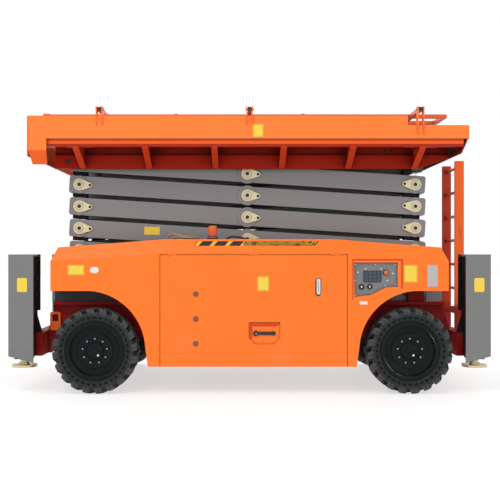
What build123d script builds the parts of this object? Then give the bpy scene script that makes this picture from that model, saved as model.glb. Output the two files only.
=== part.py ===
"""Rough-terrain scissor lift, parked with its platform down and its outriggers up.

All lengths are millimetres. +X points to the ladder end, -Y to the side with the ground controls
and +Z up. The origin is on the ground, under the middle of the whole machine.
Six stages of crossed arms stand on the chassis: the outer arm of each stage runs from its lower
right end to its upper left end, and the inner arm crosses it at a middle pin. The right ends stay
over the fixed pivot, and the left ends carry rollers in a channel below and above the stack.
"""

import os
from math import asin, atan2, cos, degrees, hypot, sin, sqrt

from build123d import *

# ---- Wheels -------------------------------------------------------------------------------------
WHEELBASE = 3086.0
AXLE_MID_X = 27.0
WIDTH_OVER_TYRES = 2300.0
TYRE_RADIUS = 420.0
TYRE_WIDTH = 300.0
SHOULDER_DROP = 28.0
SIDEWALL_RADIUS = 345.0
BEAD_RADIUS = 270.0
BEAD_INSET = 34.0
LUG_COUNT = 20
LUG_GROOVE = 62.0
LUG_DEPTH = 40.0
LUG_SLANT = 24.0
CENTRE_RIB = 44.0
RIM_WALL = 14.0
RIM_LIP = 20.0
RIM_LIP_WIDTH = 14.0
DISC_RECESS = 74.0
DISC_THICK = 16.0
DISC_COLLAR_RADIUS = 172.0
DISC_COLLAR_HEIGHT = 18.0
HUB_CAP_RADIUS = 84.0
HUB_CAP_HEIGHT = 44.0
HUB_CAP_FILLET = 8.0
HUB_DRUM_RADIUS = 150.0
HUB_DRUM_LENGTH = 120.0

# ---- Axles and knuckles -------------------------------------------------------------------------
SPINDLE_RADIUS = 60.0
SPINDLE_DEPTH = 80.0
KINGPIN_Y = 760.0
KINGPIN_RADIUS = 24.0
KNUCKLE_RADIUS = 50.0
KNUCKLE_HEIGHT = 150.0
KNUCKLE_FLANGE_RADIUS = 112.0
KNUCKLE_FLANGE = 24.0
YOKE_GAP = 6.0
YOKE_PLATE = 34.0
AXLE_BEAM_LENGTH = 120.0
AXLE_BEAM_HEIGHT = 140.0
AXLE_SEAT_LENGTH = 200.0
GEAR_CASE_RADIUS = 155.0
GEAR_CASE_WIDTH = 280.0
GEAR_CASE_CHAMFER = 60.0
STEER_CYLINDER_RADIUS = 38.0
STEER_CYLINDER_LENGTH = 520.0
STEER_CYLINDER_SINK = 8.0

# ---- Scissor stack ------------------------------------------------------------------------------
STAGES = 6
ARM_PITCH = 3500.0
STAGE_RISE = 226.5
BASE_PIN_Z = 960.0
FIXED_PIN_X = 1728.0
ARM_DEPTH = 182.0
ARM_THICK = 100.0
ARM_TAIL = 105.0
ARM_CORNER = 16.0
ARM_GAP = 25.0
STACK_HALF_WIDTH = 600.0
SHAFT_RADIUS = 42.0
PIN_FIT = 0.5
BOSS_RADIUS = 94.0
MID_BOSS_RADIUS = 104.0
BOSS_HEIGHT = 5.0
WASHER_RADIUS = 76.0
WASHER_HEIGHT = 20.0
KEEPER_RADIUS = 62.0
KEEPER_TIP_RADIUS = 26.0
KEEPER_REACH = 112.0
KEEPER_THICK = 8.0
PIN_HEAD_RADIUS = 34.0
PIN_HEAD_HEIGHT = 4.0
GREASE_HOLE_RADIUS = 9.0
STUB_INSET = 10.0
CROSS_TUBE_X = 400.0
CROSS_TUBE_RADIUS = 40.0
LUG_TUBE_RAISE = 46.0
ROLLER_RADIUS = 55.0
ROLLER_WIDTH = 42.0

# ---- Lift cylinders, a pair under each of two stages ---------------------------------------------
CYLINDER_STAGES = (2, 4)
CYLINDER_Y = 170.0
BARREL_RADIUS = 60.0
BARREL_LENGTH = 1180.0
BARREL_END = 110.0
GLAND_RADIUS = 66.0
GLAND_LENGTH = 60.0
BARREL_EYE_RADIUS = 78.0
BARREL_EYE_WIDTH = 90.0
ROD_RADIUS = 35.0
ROD_LENGTH = 1000.0
ROD_EYE_RADIUS = 42.0
ROD_EYE_HOLE = 20.0
ROD_EYE_WIDTH = 84.0
ROD_PIN_DROP = 45.0
LUG_GAP = 5.0
LUG_PLATE = 15.0
LUG_HEAD_RADIUS = 26.0
LUG_HEAD_HEIGHT = 10.0

# ---- Chassis ------------------------------------------------------------------------------------
SIDE_BEAM_Y = (480.0, 616.0)
SIDE_BEAM_Z = (500.0, 820.0)
CHASSIS_END_X = 2010.0
LEDGE_Z = (846.0, 880.0)
LEDGE_OUTER_Y = 690.0
LEDGE_WEB = 10.0
CROSS_MEMBER_X = (-1935.0, -1060.0, -60.0, 900.0, 1935.0)
CROSS_MEMBER_WIDTH = 110.0
CROSS_MEMBER_Z = (560.0, 780.0)
END_BEAM_SET_BACK = 157.0
END_BEAM_LENGTH = 115.0
END_BEAM_Z = (345.0, 580.0)
END_PLATE_THICK = 30.0
LUG_OUTER_GAP = 22.0
LUG_OUTER_THICK = 28.0
LUG_INNER_GAP = 5.0
PIVOT_LUG_RADIUS = 82.0
CHANNEL_GAP = 20.0
CHANNEL_WIDTH = 60.0
CHANNEL_WALL = 12.0
CHANNEL_FRONT_X = -2003.0
BASE_CHANNEL_REAR_X = -10.0
ROLLER_PLAY = 3.0
TRAY_X = (-945.0, 1000.0)
TRAY_FLOOR_Z = 266.0
TRAY_WALL = 12.0
TRAY_DOOR_GAP = 6.0
ENGINE_X = (-560.0, 420.0)
ENGINE_Y = (720.0, 1040.0)
ENGINE_HEIGHT = 620.0
TIE_LOOP_X = (-2062.0, -1952.0)
TIE_LOOP_Z = (580.0, 770.0)
TIE_LOOP_THICK = 24.0
TIE_LOOP_BAR = 24.0
TIE_LOOP_FILLET = 20.0

# ---- Side covers and their doors ----------------------------------------------------------------
COVER_HALF_LENGTH = 1950.0
COVER_Y = (695.0, 1120.0)
COVER_WALL = 20.0
COVER_END_Z = 1008.0
CREASE_Z = 1380.0
COVER_TOP_Z = 1517.0
BEVEL_WIDTH = 66.0
FLAT_HALF_LENGTH = 830.0
END_FALL = 82.0
END_BEVEL = 62.0
ARCH_CROWN_X = 48.0
ARCH_SHOULDER = (356.0, 803.0)
ARCH_FOOT = (494.0, 461.0)
ARCH_BOTTOM_X = 520.0
DOOR_X = (-880.0, 960.0)
DOOR_TOP_Z = 1366.0
DOOR_GAP = 5.0
DOOR_BOLT_X = -527.0
DOOR_BOLT_Z = (978.0, 735.0, 492.0)
DOOR_BOLT_RADIUS = 25.0
DOOR_BOLT_HEIGHT = 7.0
LOCK_SLOT_X = 670.0
LOCK_SLOT_Z = (956.0, 1125.0)
LOCK_SLOT_WIDTH = 52.0
LATCH_RECESS_X = (-8.0, 300.0)
LATCH_RECESS_Z = (486.0, 702.0)
LATCH_RECESS_CORNER = 60.0
RECESS_DEPTH = 13.0
LATCH_BAR_X = (44.0, 246.0)
LATCH_BAR_Z = 592.0
LATCH_BAR_RADIUS = 13.0
HINGE_X = (-760.0, 40.0, 840.0)
HINGE_RADIUS = 7.0
HINGE_PIN_RADIUS = 3.5
HINGE_KNUCKLE = 50.0
HINGE_GAP = 0.6
PANEL_OUTLINE = ((1020.0, 1287.0), (1450.0, 1287.0), (1450.0, 1050.0),
                 (1336.0, 1044.0), (1186.0, 969.0), (1030.0, 950.0))
PANEL_THICK = 10.0
PANEL_LAP = 14.0
BEACON_X = -366.0
BEACON_Y = 985.0
BEACON_BASE_RADIUS = 54.0
BEACON_BASE_HEIGHT = 24.0
BEACON_RADIUS = 44.0
BEACON_HEIGHT = 112.0
BEACON_FILLET = 18.0

# ---- Outriggers ---------------------------------------------------------------------------------
LEG_X = 2242.0
LEG_Y = 965.0
LEG_SIZE = 160.0
LEG_WALL = 20.0
LEG_Z = (330.0, 1340.0)
LEG_FIT = 0.5
LEG_PLATE = 16.0
LEG_CAP = 10.0
FOOT_TOP_Z = 1240.0
FOOT_STEM_RADIUS = 40.0
FOOT_PAD_RADIUS = 125.0
FOOT_PAD_Z = (250.0, 274.0)
FOOT_BALL_RADIUS = 52.0
FOOT_BALL_HEIGHT = 20.0
SHROUD_REACH = (122.0, 123.0)
SHROUD_Y = (820.0, 1110.0)
SHROUD_WALL = 15.0
SHROUD_TOP_Z = 1366.0
SHROUD_BOTTOM_Z = (303.0, 366.0)
SHROUD_FLANK_Z = 800.0
BRACE_THICK = 20.0
BRACE_TOP_Z = 790.0

# ---- Ladder -------------------------------------------------------------------------------------
LADDER_GAP = 18.0
LADDER_DEPTH = 100.0
LADDER_HALF_WIDTH = 290.0
LADDER_RAIL = 22.0
LADDER_Z = (400.0, 2372.0)
LADDER_CORNER = 8.0
RUNG_COUNT = 8
RUNG_FIRST_Z = 470.0
RUNG_PITCH = 262.0
RUNG_RADIUS = 16.0
LADDER_STAY_Z = (420.0, 760.0)
LADDER_STAY = 50.0

# ---- Platform -----------------------------------------------------------------------------------
PLATFORM_REAR_X = 2148.0
PLATFORM_FRONT_X = -2162.0
FLOOR_Z = 2500.0
FLOOR_THICK = 8.0
FASCIA_OUTER_Y = 1130.0
FASCIA_THICK = 12.0
FASCIA_TOP_Z = 2724.0
FASCIA_LOW_Z = 2631.0
FASCIA_LOW_X = 1548.0
CAP_REAR_X = -1988.0
CAP_BOTTOM_Z = 2380.0
CAP_SKIRT_Z = 2252.0
CAP_SKIRT_INSET = 45.0
CAP_FRONT_INSET = 30.0
TAIL_PLATE_Z = 2357.0
TAIL_PLATE_INSET = 66.0
TAIL_HALF_WIDTH = 1100.0
RAIL_CHANNEL_REAR_X = 2060.0
CHANNEL_CUT = (320.0, 106.0)
WEB_INSET = 30.0
JOIST_COUNT = 9
JOIST_X = (-1975.0, 2040.0)
JOIST_WIDTH = 50.0
JOIST_HEIGHT = 30.0
EDGE_TUBE_Y = (1048.0, 1100.0)
EDGE_TUBE_DEPTH = 76.0
GUSSET_COUNT = 6
GUSSET_FIRST_X = -1709.0
GUSSET_PITCH = 682.0
GUSSET_WEB = 14.0
GUSSET_FLANGE = 62.0
GUSSET_FLANGE_THICK = 12.0
EXTENSION_REAR_X = -450.0
EXTENSION_HALF_WIDTH = 1040.0
EXTENSION_RISE = 8.0
EXTENSION_THICK = 14.0
RUNNER_Y = 900.0
RUNNER_WIDTH = 50.0
RUNNER_PLAY = 0.4
NOSE_GAP = 8.0
NOSE_THICK = 15.0
NOSE_HALF_WIDTH = 1098.0
NOSE_BOTTOM_Z = 2330.0

# ---- Guard rails, folded down onto the platform ---------------------------------------------------
RAIL_PIVOT_Y = 1096.0
RAIL_PIVOT_Z = 2790.0
RAIL_TUBE = 40.0
RAIL_TAIL = 27.0
MID_RAIL_REACH = 440.0
TOP_RAIL_REACH = 870.0
RAIL_POST_X = (-1470.0, 2.0, 1674.0)
RAIL_END_X = (-2125.0, 2036.0)
EAR_GAP = 3.0
EAR_PLATE = 10.0
EAR_Y = (1066.0, 1142.0)
EAR_DROP = 90.0
EAR_TOP = 24.0
RAIL_PIN_RADIUS = 8.0
END_RAIL_TUBE = 36.0
END_RAIL_HALF_WIDTH = 960.0
END_RAIL_REACH = 820.0
END_RAIL_MID = 400.0
FRONT_RAIL_Z = 2600.0
REAR_RAIL_Z = 2570.0

# ---- Derived places -----------------------------------------------------------------------------
FOLD = asin(STAGE_RISE / ARM_PITCH)
HALF_SPAN = sqrt(ARM_PITCH**2 - STAGE_RISE**2) / 2
STACK_MID_X = FIXED_PIN_X - HALF_SPAN
TOP_PIN_Z = BASE_PIN_Z + STAGES * STAGE_RISE
AXLE_X = {"front": AXLE_MID_X - WHEELBASE / 2, "rear": AXLE_MID_X + WHEELBASE / 2}
WHEEL_Y = (WIDTH_OVER_TYRES - TYRE_WIDTH) / 2
OUTER_BEAM_Y = (STACK_HALF_WIDTH - ARM_THICK, STACK_HALF_WIDTH)
INNER_BEAM_Y = (OUTER_BEAM_Y[0] - ARM_GAP - ARM_THICK, OUTER_BEAM_Y[0] - ARM_GAP)
CHANNEL_Y = (STACK_HALF_WIDTH + CHANNEL_GAP, STACK_HALF_WIDTH + CHANNEL_GAP + CHANNEL_WIDTH)
ROLLER_Y = (CHANNEL_Y[0] + ROLLER_PLAY, CHANNEL_Y[0] + ROLLER_PLAY + ROLLER_WIDTH)
BORE_RADIUS = SHAFT_RADIUS + PIN_FIT
FASCIA_INNER_Y = FASCIA_OUTER_Y - FASCIA_THICK
END_BEAM_X = (LEG_X - END_BEAM_SET_BACK, LEG_X - END_BEAM_SET_BACK + END_BEAM_LENGTH)
SHROUD_X = (LEG_X - SHROUD_REACH[0], LEG_X + SHROUD_REACH[1])
LADDER_X = (END_BEAM_X[1] + LADDER_GAP, END_BEAM_X[1] + LADDER_GAP + LADDER_DEPTH)
EDGE_TUBE_Z = (FLOOR_Z - EDGE_TUBE_DEPTH, FLOOR_Z)
WEB_Y = (CHANNEL_Y[1] - WEB_INSET - CHANNEL_WALL, CHANNEL_Y[1] - WEB_INSET)
RIM_RADIUS = BEAD_RADIUS - PIN_FIT
HUB_BACK_Y = WHEEL_Y - (DISC_THICK + DISC_RECESS + HUB_DRUM_LENGTH - TYRE_WIDTH / 2)
SIDES = {"near": 1, "far": -1}


# ---- Building blocks ----------------------------------------------------------------------------
def block(x, y, z):
    """A box from a (low, high) pair on each axis."""
    centre = Pos((x[0] + x[1]) / 2, (y[0] + y[1]) / 2, (z[0] + z[1]) / 2)
    return centre * Box(x[1] - x[0], y[1] - y[0], z[1] - z[0])


def around(middle, size):
    """The (low, high) pair of a length centred on a place."""
    return (middle - size / 2, middle + size / 2)


def bar_x(outline, x):
    """A (y, z) outline drawn out along X."""
    face = make_face(Polyline(*[(x[0], y, z) for y, z in outline], close=True))
    return extrude(face, amount=x[1] - x[0], dir=(1, 0, 0))


def bar_y(outline, y):
    """An (x, z) outline drawn out along Y."""
    face = make_face(Polyline(*[(x, y[0], z) for x, z in outline], close=True))
    return extrude(face, amount=y[1] - y[0], dir=(0, 1, 0))


def round_x(y, z, radius, x):
    """A round bar along X."""
    return Pos((x[0] + x[1]) / 2, y, z) * Rot(0, 90, 0) * Cylinder(radius, x[1] - x[0])


def round_y(x, z, radius, y):
    """A round bar along Y."""
    return Pos(x, (y[0] + y[1]) / 2, z) * Rot(90, 0, 0) * Cylinder(radius, y[1] - y[0])


def round_z(x, y, radius, z):
    """A round bar along Z."""
    return Pos(x, y, (z[0] + z[1]) / 2) * Cylinder(radius, z[1] - z[0])


def turned_y(profile):
    """A (radius, y) profile turned about the Y axis."""
    face = make_face(Polyline(*[(radius, y, 0) for radius, y in profile], close=True))
    return revolve(face, Axis.Y)


def flip_y(shape):
    """The same piece on the other side of the machine."""
    return mirror(shape, Plane.XZ)


def both_sides(shape):
    """A piece with its mirror image, as one shape."""
    return shape + flip_y(shape)


def on_side(shape, side):
    """A piece built at +Y, put on the near (-Y) or the far (+Y) side."""
    return flip_y(shape) if side == "near" else shape


# ---- Wheels -------------------------------------------------------------------------------------
def tyre():
    """A solid tyre about the Y axis, its tread cut into slanting lugs from each shoulder."""
    half = TYRE_WIDTH / 2
    shoulder = TYRE_RADIUS - SHOULDER_DROP
    bead_y = half - BEAD_INSET
    right = [(BEAD_RADIUS, bead_y), (BEAD_RADIUS + RIM_LIP + PIN_FIT, bead_y),
             (SIDEWALL_RADIUS, half), (shoulder, half), (TYRE_RADIUS, half - SHOULDER_DROP)]
    left = [(radius, -y) for radius, y in reversed(right)]
    body = turned_y(right + left)
    reach = half - CENTRE_RIB / 2
    groove = Box(LUG_GROOVE, 2 * reach, LUG_DEPTH * 2)
    grooves = []
    for number in range(LUG_COUNT):
        for side in (1, -1):
            turn = (number + (side > 0) / 2) * 360 / LUG_COUNT
            place = Pos(0, side * (CENTRE_RIB / 2 + reach), TYRE_RADIUS)
            grooves.append(Rot(0, turn, 0) * place * Rot(0, 0, side * LUG_SLANT) * groove)
    return body - grooves


def rim():
    """A dished wheel about the Y axis, its outer face at -Y, with the hub drum behind its disc."""
    lip_y = TYRE_WIDTH / 2 - BEAD_INSET
    barrel = RIM_RADIUS - RIM_WALL
    disc_y = -(TYRE_WIDTH / 2) + DISC_RECESS
    back_y = disc_y + DISC_THICK
    collar_y = disc_y - DISC_COLLAR_HEIGHT
    cap_y = disc_y - HUB_CAP_HEIGHT
    drum_y = back_y + HUB_DRUM_LENGTH
    lip = RIM_RADIUS + RIM_LIP
    profile = [
        (0, cap_y), (HUB_CAP_RADIUS - HUB_CAP_FILLET, cap_y), (HUB_CAP_RADIUS, cap_y + HUB_CAP_FILLET),
        (HUB_CAP_RADIUS, collar_y), (DISC_COLLAR_RADIUS, collar_y), (DISC_COLLAR_RADIUS, disc_y),
        (barrel, disc_y), (barrel, -lip_y - RIM_LIP_WIDTH), (lip, -lip_y - RIM_LIP_WIDTH),
        (lip, -lip_y), (RIM_RADIUS, -lip_y), (RIM_RADIUS, lip_y), (lip, lip_y),
        (lip, lip_y + RIM_LIP_WIDTH), (barrel, lip_y + RIM_LIP_WIDTH), (barrel, back_y),
        (HUB_DRUM_RADIUS, back_y), (HUB_DRUM_RADIUS, drum_y), (SPINDLE_RADIUS + PIN_FIT, drum_y),
        (SPINDLE_RADIUS + PIN_FIT, drum_y - SPINDLE_DEPTH), (0, drum_y - SPINDLE_DEPTH),
    ]
    return turned_y(profile)




def wheel_nodes():
    """The four tyres and rims, named by axle and side."""
    nodes = {}
    whole_tyre = tyre()
    whole_rim = rim()
    for end, x in AXLE_X.items():
        for side, sign in SIDES.items():
            place = Pos(x, -sign * WHEEL_Y, TYRE_RADIUS)
            facing = whole_rim if side == "near" else flip_y(whole_rim)
            nodes[f"tyre_{end}_{side}"] = place * whole_tyre
            nodes[f"rim_{end}_{side}"] = place * facing
    return nodes


# ---- Axles and knuckles -------------------------------------------------------------------------
def spindle(x, start_y):
    """The stub that a hub drum turns on, from a place inboard to the end of the drum's bore."""
    return round_y(x, TYRE_RADIUS, SPINDLE_RADIUS, (start_y, HUB_BACK_Y + SPINDLE_DEPTH - PIN_FIT))


def axle_core(x):
    """The axle's beam, gear case and the seats under the chassis beams."""
    beam = block(around(x, AXLE_BEAM_LENGTH), (-SIDE_BEAM_Y[1], SIDE_BEAM_Y[1]),
                 around(TYRE_RADIUS, AXLE_BEAM_HEIGHT))
    case = round_y(x, TYRE_RADIUS, GEAR_CASE_RADIUS, around(0, GEAR_CASE_WIDTH))
    case = chamfer(case.edges().filter_by(GeomType.CIRCLE), GEAR_CASE_CHAMFER)
    seat = block(around(x, AXLE_SEAT_LENGTH), SIDE_BEAM_Y, (TYRE_RADIUS, SIDE_BEAM_Z[0]))
    return beam + case + both_sides(seat)


def front_axle():
    """The steered axle: its yokes hold a knuckle on a kingpin at each end."""
    x = AXLE_X["front"]
    half = KNUCKLE_HEIGHT / 2 + YOKE_GAP
    length = around(x, AXLE_BEAM_LENGTH)
    height = around(TYRE_RADIUS, 2 * (half + YOKE_PLATE))
    yoke = block(length, (SIDE_BEAM_Y[1], KINGPIN_Y - KNUCKLE_RADIUS - YOKE_GAP), height)
    for z in ((TYRE_RADIUS + half, height[1]), (height[0], TYRE_RADIUS - half)):
        yoke += block(length, (SIDE_BEAM_Y[1], KINGPIN_Y), z) + round_z(x, KINGPIN_Y, AXLE_BEAM_LENGTH / 2, z)
    kingpin = round_z(x, KINGPIN_Y, KINGPIN_RADIUS, height)
    cylinder_x = x + AXLE_BEAM_LENGTH / 2 + STEER_CYLINDER_RADIUS - STEER_CYLINDER_SINK
    cylinder = round_y(cylinder_x, TYRE_RADIUS, STEER_CYLINDER_RADIUS, (0, STEER_CYLINDER_LENGTH))
    return axle_core(x) + both_sides(yoke + kingpin + cylinder)


def rear_axle():
    """The fixed axle, with a flange and a spindle at each end."""
    x = AXLE_X["rear"]
    tube = block(around(x, AXLE_BEAM_LENGTH), (SIDE_BEAM_Y[1], KINGPIN_Y), around(TYRE_RADIUS, AXLE_BEAM_HEIGHT))
    flange = round_y(x, TYRE_RADIUS, KNUCKLE_FLANGE_RADIUS, (KINGPIN_Y, KINGPIN_Y + KNUCKLE_FLANGE))
    return axle_core(x) + both_sides(tube + flange + spindle(x, KINGPIN_Y))


def knuckle():
    """A steering knuckle: a barrel bored for the kingpin, a flange and the wheel's spindle."""
    x = AXLE_X["front"]
    flange_y = KINGPIN_Y + AXLE_BEAM_LENGTH / 2 + YOKE_GAP
    body = round_z(x, KINGPIN_Y, KNUCKLE_RADIUS, around(TYRE_RADIUS, KNUCKLE_HEIGHT))
    flange = round_y(x, TYRE_RADIUS, KNUCKLE_FLANGE_RADIUS, (flange_y, flange_y + KNUCKLE_FLANGE))
    bore = round_z(x, KINGPIN_Y, KINGPIN_RADIUS + PIN_FIT, around(TYRE_RADIUS, 2 * KNUCKLE_HEIGHT))
    return body + flange + spindle(x, KINGPIN_Y) - bore


# ---- Scissor arms, each in its own frame: X along the arm, origin at the middle pin ---------------
def arm_beam(y):
    """One bar of an arm, its corners cut off."""
    end_x = ARM_PITCH / 2 + ARM_TAIL
    top_z = ARM_DEPTH / 2
    corner = [(end_x, top_z - ARM_CORNER), (end_x - ARM_CORNER, top_z)]
    right = [(x, -z) for x, z in reversed(corner)] + corner
    left = [(-x, -z) for x, z in right]
    return bar_y(right + left, y)


def pin_keeper(x, towards):
    """A boss, a drop-shaped keeper plate and a pin head on an outer arm's outer face."""
    radius = BOSS_RADIUS if x else MID_BOSS_RADIUS
    boss = round_y(x, 0, radius, (STACK_HALF_WIDTH, STACK_HALF_WIDTH + BOSS_HEIGHT))
    tip = Pos(towards * KEEPER_REACH, 0) * Circle(KEEPER_TIP_RADIUS)
    drop = make_hull(Circle(KEEPER_RADIUS).edges() + tip.edges())
    plate_y = STACK_HALF_WIDTH + BOSS_HEIGHT
    plate = Pos(x, plate_y, 0) * Rot(-90, 0, 0) * extrude(drop, amount=KEEPER_THICK)
    head_y = plate_y + KEEPER_THICK
    head = round_y(x, 0, PIN_HEAD_RADIUS, (head_y, head_y + PIN_HEAD_HEIGHT))
    hole = round_y(x, 0, GREASE_HOLE_RADIUS, (head_y, head_y + 2 * PIN_HEAD_HEIGHT))
    return boss + plate + head - hole


def roller_shaft(x):
    """A full-width shaft with a roller on each end."""
    roller = round_y(x, 0, ROLLER_RADIUS, ROLLER_Y)
    return round_y(x, 0, SHAFT_RADIUS, (-ROLLER_Y[1], ROLLER_Y[1])) + both_sides(roller)


def outer_arm(stage):
    """Two outer bars tied by full-width end shafts, with stub pins for the inner arm."""
    end = ARM_PITCH / 2
    arm = both_sides(arm_beam(OUTER_BEAM_Y))
    stub = round_y(0, 0, SHAFT_RADIUS, (INNER_BEAM_Y[0] - STUB_INSET, STACK_HALF_WIDTH))
    arm += both_sides(stub + pin_keeper(0, 1))
    full_width = (-STACK_HALF_WIDTH, STACK_HALF_WIDTH)
    if stage == STAGES:
        arm += roller_shaft(-end)
    else:
        arm += round_y(-end, 0, SHAFT_RADIUS, full_width) + both_sides(pin_keeper(-end, 1))
    if stage == 1:
        return arm - round_y(end, 0, BORE_RADIUS, (-STACK_HALF_WIDTH * 2, STACK_HALF_WIDTH * 2))
    return arm + round_y(end, 0, SHAFT_RADIUS, full_width) + both_sides(pin_keeper(end, -1))


def rod_lug():
    """The pair of plates under an inner arm's cross tube that take one rod's eye."""
    side = ROD_EYE_WIDTH / 2 + LUG_GAP
    top = (CROSS_TUBE_X, LUG_TUBE_RAISE)
    ring = [(top[0] - CROSS_TUBE_RADIUS, top[1]), (top[0] + CROSS_TUBE_RADIUS, top[1]),
            (top[0] + ROD_EYE_RADIUS, -ROD_PIN_DROP), (top[0] - ROD_EYE_RADIUS, -ROD_PIN_DROP)]
    lug = None
    for start in (CYLINDER_Y - side - LUG_PLATE, CYLINDER_Y + side):
        plate = bar_y(ring, (start, start + LUG_PLATE))
        plate += round_y(CROSS_TUBE_X, -ROD_PIN_DROP, ROD_EYE_RADIUS, (start, start + LUG_PLATE))
        lug = plate if lug is None else lug + plate
    reach = side + LUG_PLATE
    for head_y in ((CYLINDER_Y - reach - LUG_HEAD_HEIGHT, CYLINDER_Y - reach),
                   (CYLINDER_Y + reach, CYLINDER_Y + reach + LUG_HEAD_HEIGHT)):
        lug += round_y(CROSS_TUBE_X, -ROD_PIN_DROP, LUG_HEAD_RADIUS, head_y)
    return lug


def inner_arm(stage):
    """Two inner bars tied by round cross tubes, bored for the outer arms' shafts."""
    end = ARM_PITCH / 2
    arm = both_sides(arm_beam(INNER_BEAM_Y))
    washer_y = (INNER_BEAM_Y[1], INNER_BEAM_Y[1] + WASHER_HEIGHT)
    for x in (-end, 0, end):
        arm += both_sides(round_y(x, 0, WASHER_RADIUS, washer_y))
    between = (-INNER_BEAM_Y[0], INNER_BEAM_Y[0])
    arm += round_y(CROSS_TUBE_X, LUG_TUBE_RAISE, CROSS_TUBE_RADIUS, between)
    arm += round_y(-CROSS_TUBE_X, 0, CROSS_TUBE_RADIUS, between)
    if stage in CYLINDER_STAGES:
        arm += both_sides(rod_lug())
    for x in (-end, 0, end):
        if stage > 1 or x > -end:
            arm -= round_y(x, 0, BORE_RADIUS, (-STACK_HALF_WIDTH * 2, STACK_HALF_WIDTH * 2))
    if stage == 1:
        arm += roller_shaft(-end)
    return arm


def stage_place(stage, lean):
    """Where a stage's arm lies when folded: lean is 1 for an outer arm and -1 for an inner one."""
    centre_z = BASE_PIN_Z + (stage - 0.5) * STAGE_RISE
    return Pos(STACK_MID_X, 0, centre_z) * Rot(0, lean * degrees(FOLD), 0)


def arm_nodes():
    """Both arms of every stage."""
    nodes = {}
    for stage in range(1, STAGES + 1):
        nodes[f"outer_arm_{stage}"] = stage_place(stage, 1) * outer_arm(stage)
        nodes[f"inner_arm_{stage}"] = stage_place(stage, -1) * inner_arm(stage)
    return nodes


# ---- Lift cylinders -----------------------------------------------------------------------------
def cylinder_line(stage):
    """The base pin's place and the length and slope of the line to the rod's eye, all at rest."""
    base = (FIXED_PIN_X, BASE_PIN_Z + (stage - 1) * STAGE_RISE)
    eye_x = STACK_MID_X + CROSS_TUBE_X * cos(FOLD) + ROD_PIN_DROP * sin(FOLD)
    eye_z = base[1] + STAGE_RISE / 2 + CROSS_TUBE_X * sin(FOLD) - ROD_PIN_DROP * cos(FOLD)
    run = (eye_x - base[0], eye_z - base[1])
    return base, hypot(*run), -degrees(atan2(run[1], run[0]))


def barrel():
    """A cylinder barrel along +X from its eye, open where the rod comes out."""
    eye = round_y(0, 0, BARREL_EYE_RADIUS, around(0, BARREL_EYE_WIDTH))
    body = round_x(0, 0, BARREL_RADIUS, (0, BARREL_LENGTH))
    gland = round_x(0, 0, GLAND_RADIUS, (BARREL_LENGTH - GLAND_LENGTH, BARREL_LENGTH))
    bore = round_x(0, 0, ROD_RADIUS + PIN_FIT, (BARREL_END, BARREL_LENGTH * 2))
    shaft = round_y(0, 0, BORE_RADIUS, around(0, BARREL_RADIUS * 4))
    return eye + body + gland - bore - shaft


def rod(length):
    """A rod along +X, its eye the given length from the barrel's."""
    shaft = round_x(0, 0, ROD_RADIUS, (length - ROD_LENGTH, length - ROD_EYE_RADIUS / 2))
    eye = round_y(length, 0, ROD_EYE_RADIUS, around(0, ROD_EYE_WIDTH))
    return shaft + eye - round_y(length, 0, ROD_EYE_HOLE, around(0, ROD_EYE_WIDTH * 2))


def cylinder_nodes():
    """The barrels and rods of the two cylinder pairs."""
    nodes = {}
    for name, stage in zip(("lower", "upper"), CYLINDER_STAGES):
        base, length, slope = cylinder_line(stage)
        line = Pos(base[0], 0, base[1]) * Rot(0, slope, 0)
        across = Pos(0, CYLINDER_Y, 0)
        nodes[f"{name}_cylinder_barrels"] = both_sides(line * across * barrel())
        nodes[f"{name}_cylinder_rods"] = both_sides(line * across * rod(length))
    return nodes


# ---- Chassis ------------------------------------------------------------------------------------
def side_beam():
    """One long chassis beam with its raised web and the ledge that carries the roller channel."""
    inner_end = END_BEAM_X[0]
    outline = [(-inner_end, SIDE_BEAM_Z[0]), (inner_end, SIDE_BEAM_Z[0]), (inner_end, END_BEAM_Z[1]),
               (CHASSIS_END_X, SIDE_BEAM_Z[1]), (-CHASSIS_END_X, SIDE_BEAM_Z[1]), (-inner_end, END_BEAM_Z[1])]
    length = (-CHASSIS_END_X, CHASSIS_END_X)
    web = block(length, (SIDE_BEAM_Y[1] - LEDGE_WEB, SIDE_BEAM_Y[1]), (SIDE_BEAM_Z[1], LEDGE_Z[1]))
    ledge = block(length, (SIDE_BEAM_Y[1], LEDGE_OUTER_Y), LEDGE_Z)
    return bar_y(outline, SIDE_BEAM_Y) + web + ledge


def pivot_lugs():
    """The two plates and the shaft that hold the lowest outer arm on one side."""
    outer_y = (STACK_HALF_WIDTH + LUG_OUTER_GAP, STACK_HALF_WIDTH + LUG_OUTER_GAP + LUG_OUTER_THICK)
    inner_y = (SIDE_BEAM_Y[0], OUTER_BEAM_Y[0] - LUG_INNER_GAP)
    lugs = round_y(FIXED_PIN_X, BASE_PIN_Z, SHAFT_RADIUS, (inner_y[0], outer_y[1]))
    for y, foot_z in ((outer_y, LEDGE_Z[0]), (inner_y, SIDE_BEAM_Z[1])):
        lugs += block(around(FIXED_PIN_X, 2 * PIVOT_LUG_RADIUS), y, (foot_z, BASE_PIN_Z))
        lugs += round_y(FIXED_PIN_X, BASE_PIN_Z, PIVOT_LUG_RADIUS, y)
    return lugs


def end_beam():
    """The cross beam at the ladder end, from one outrigger leg to the other, with its end plate."""
    reach = LEG_Y - LEG_SIZE / 2
    beam = block(END_BEAM_X, (-reach, reach), END_BEAM_Z)
    plate_x = (END_BEAM_X[0] - END_PLATE_THICK, END_BEAM_X[0])
    plate = block(plate_x, (-SIDE_BEAM_Y[1], SIDE_BEAM_Y[1]), END_BEAM_Z)
    return beam + plate


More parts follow.
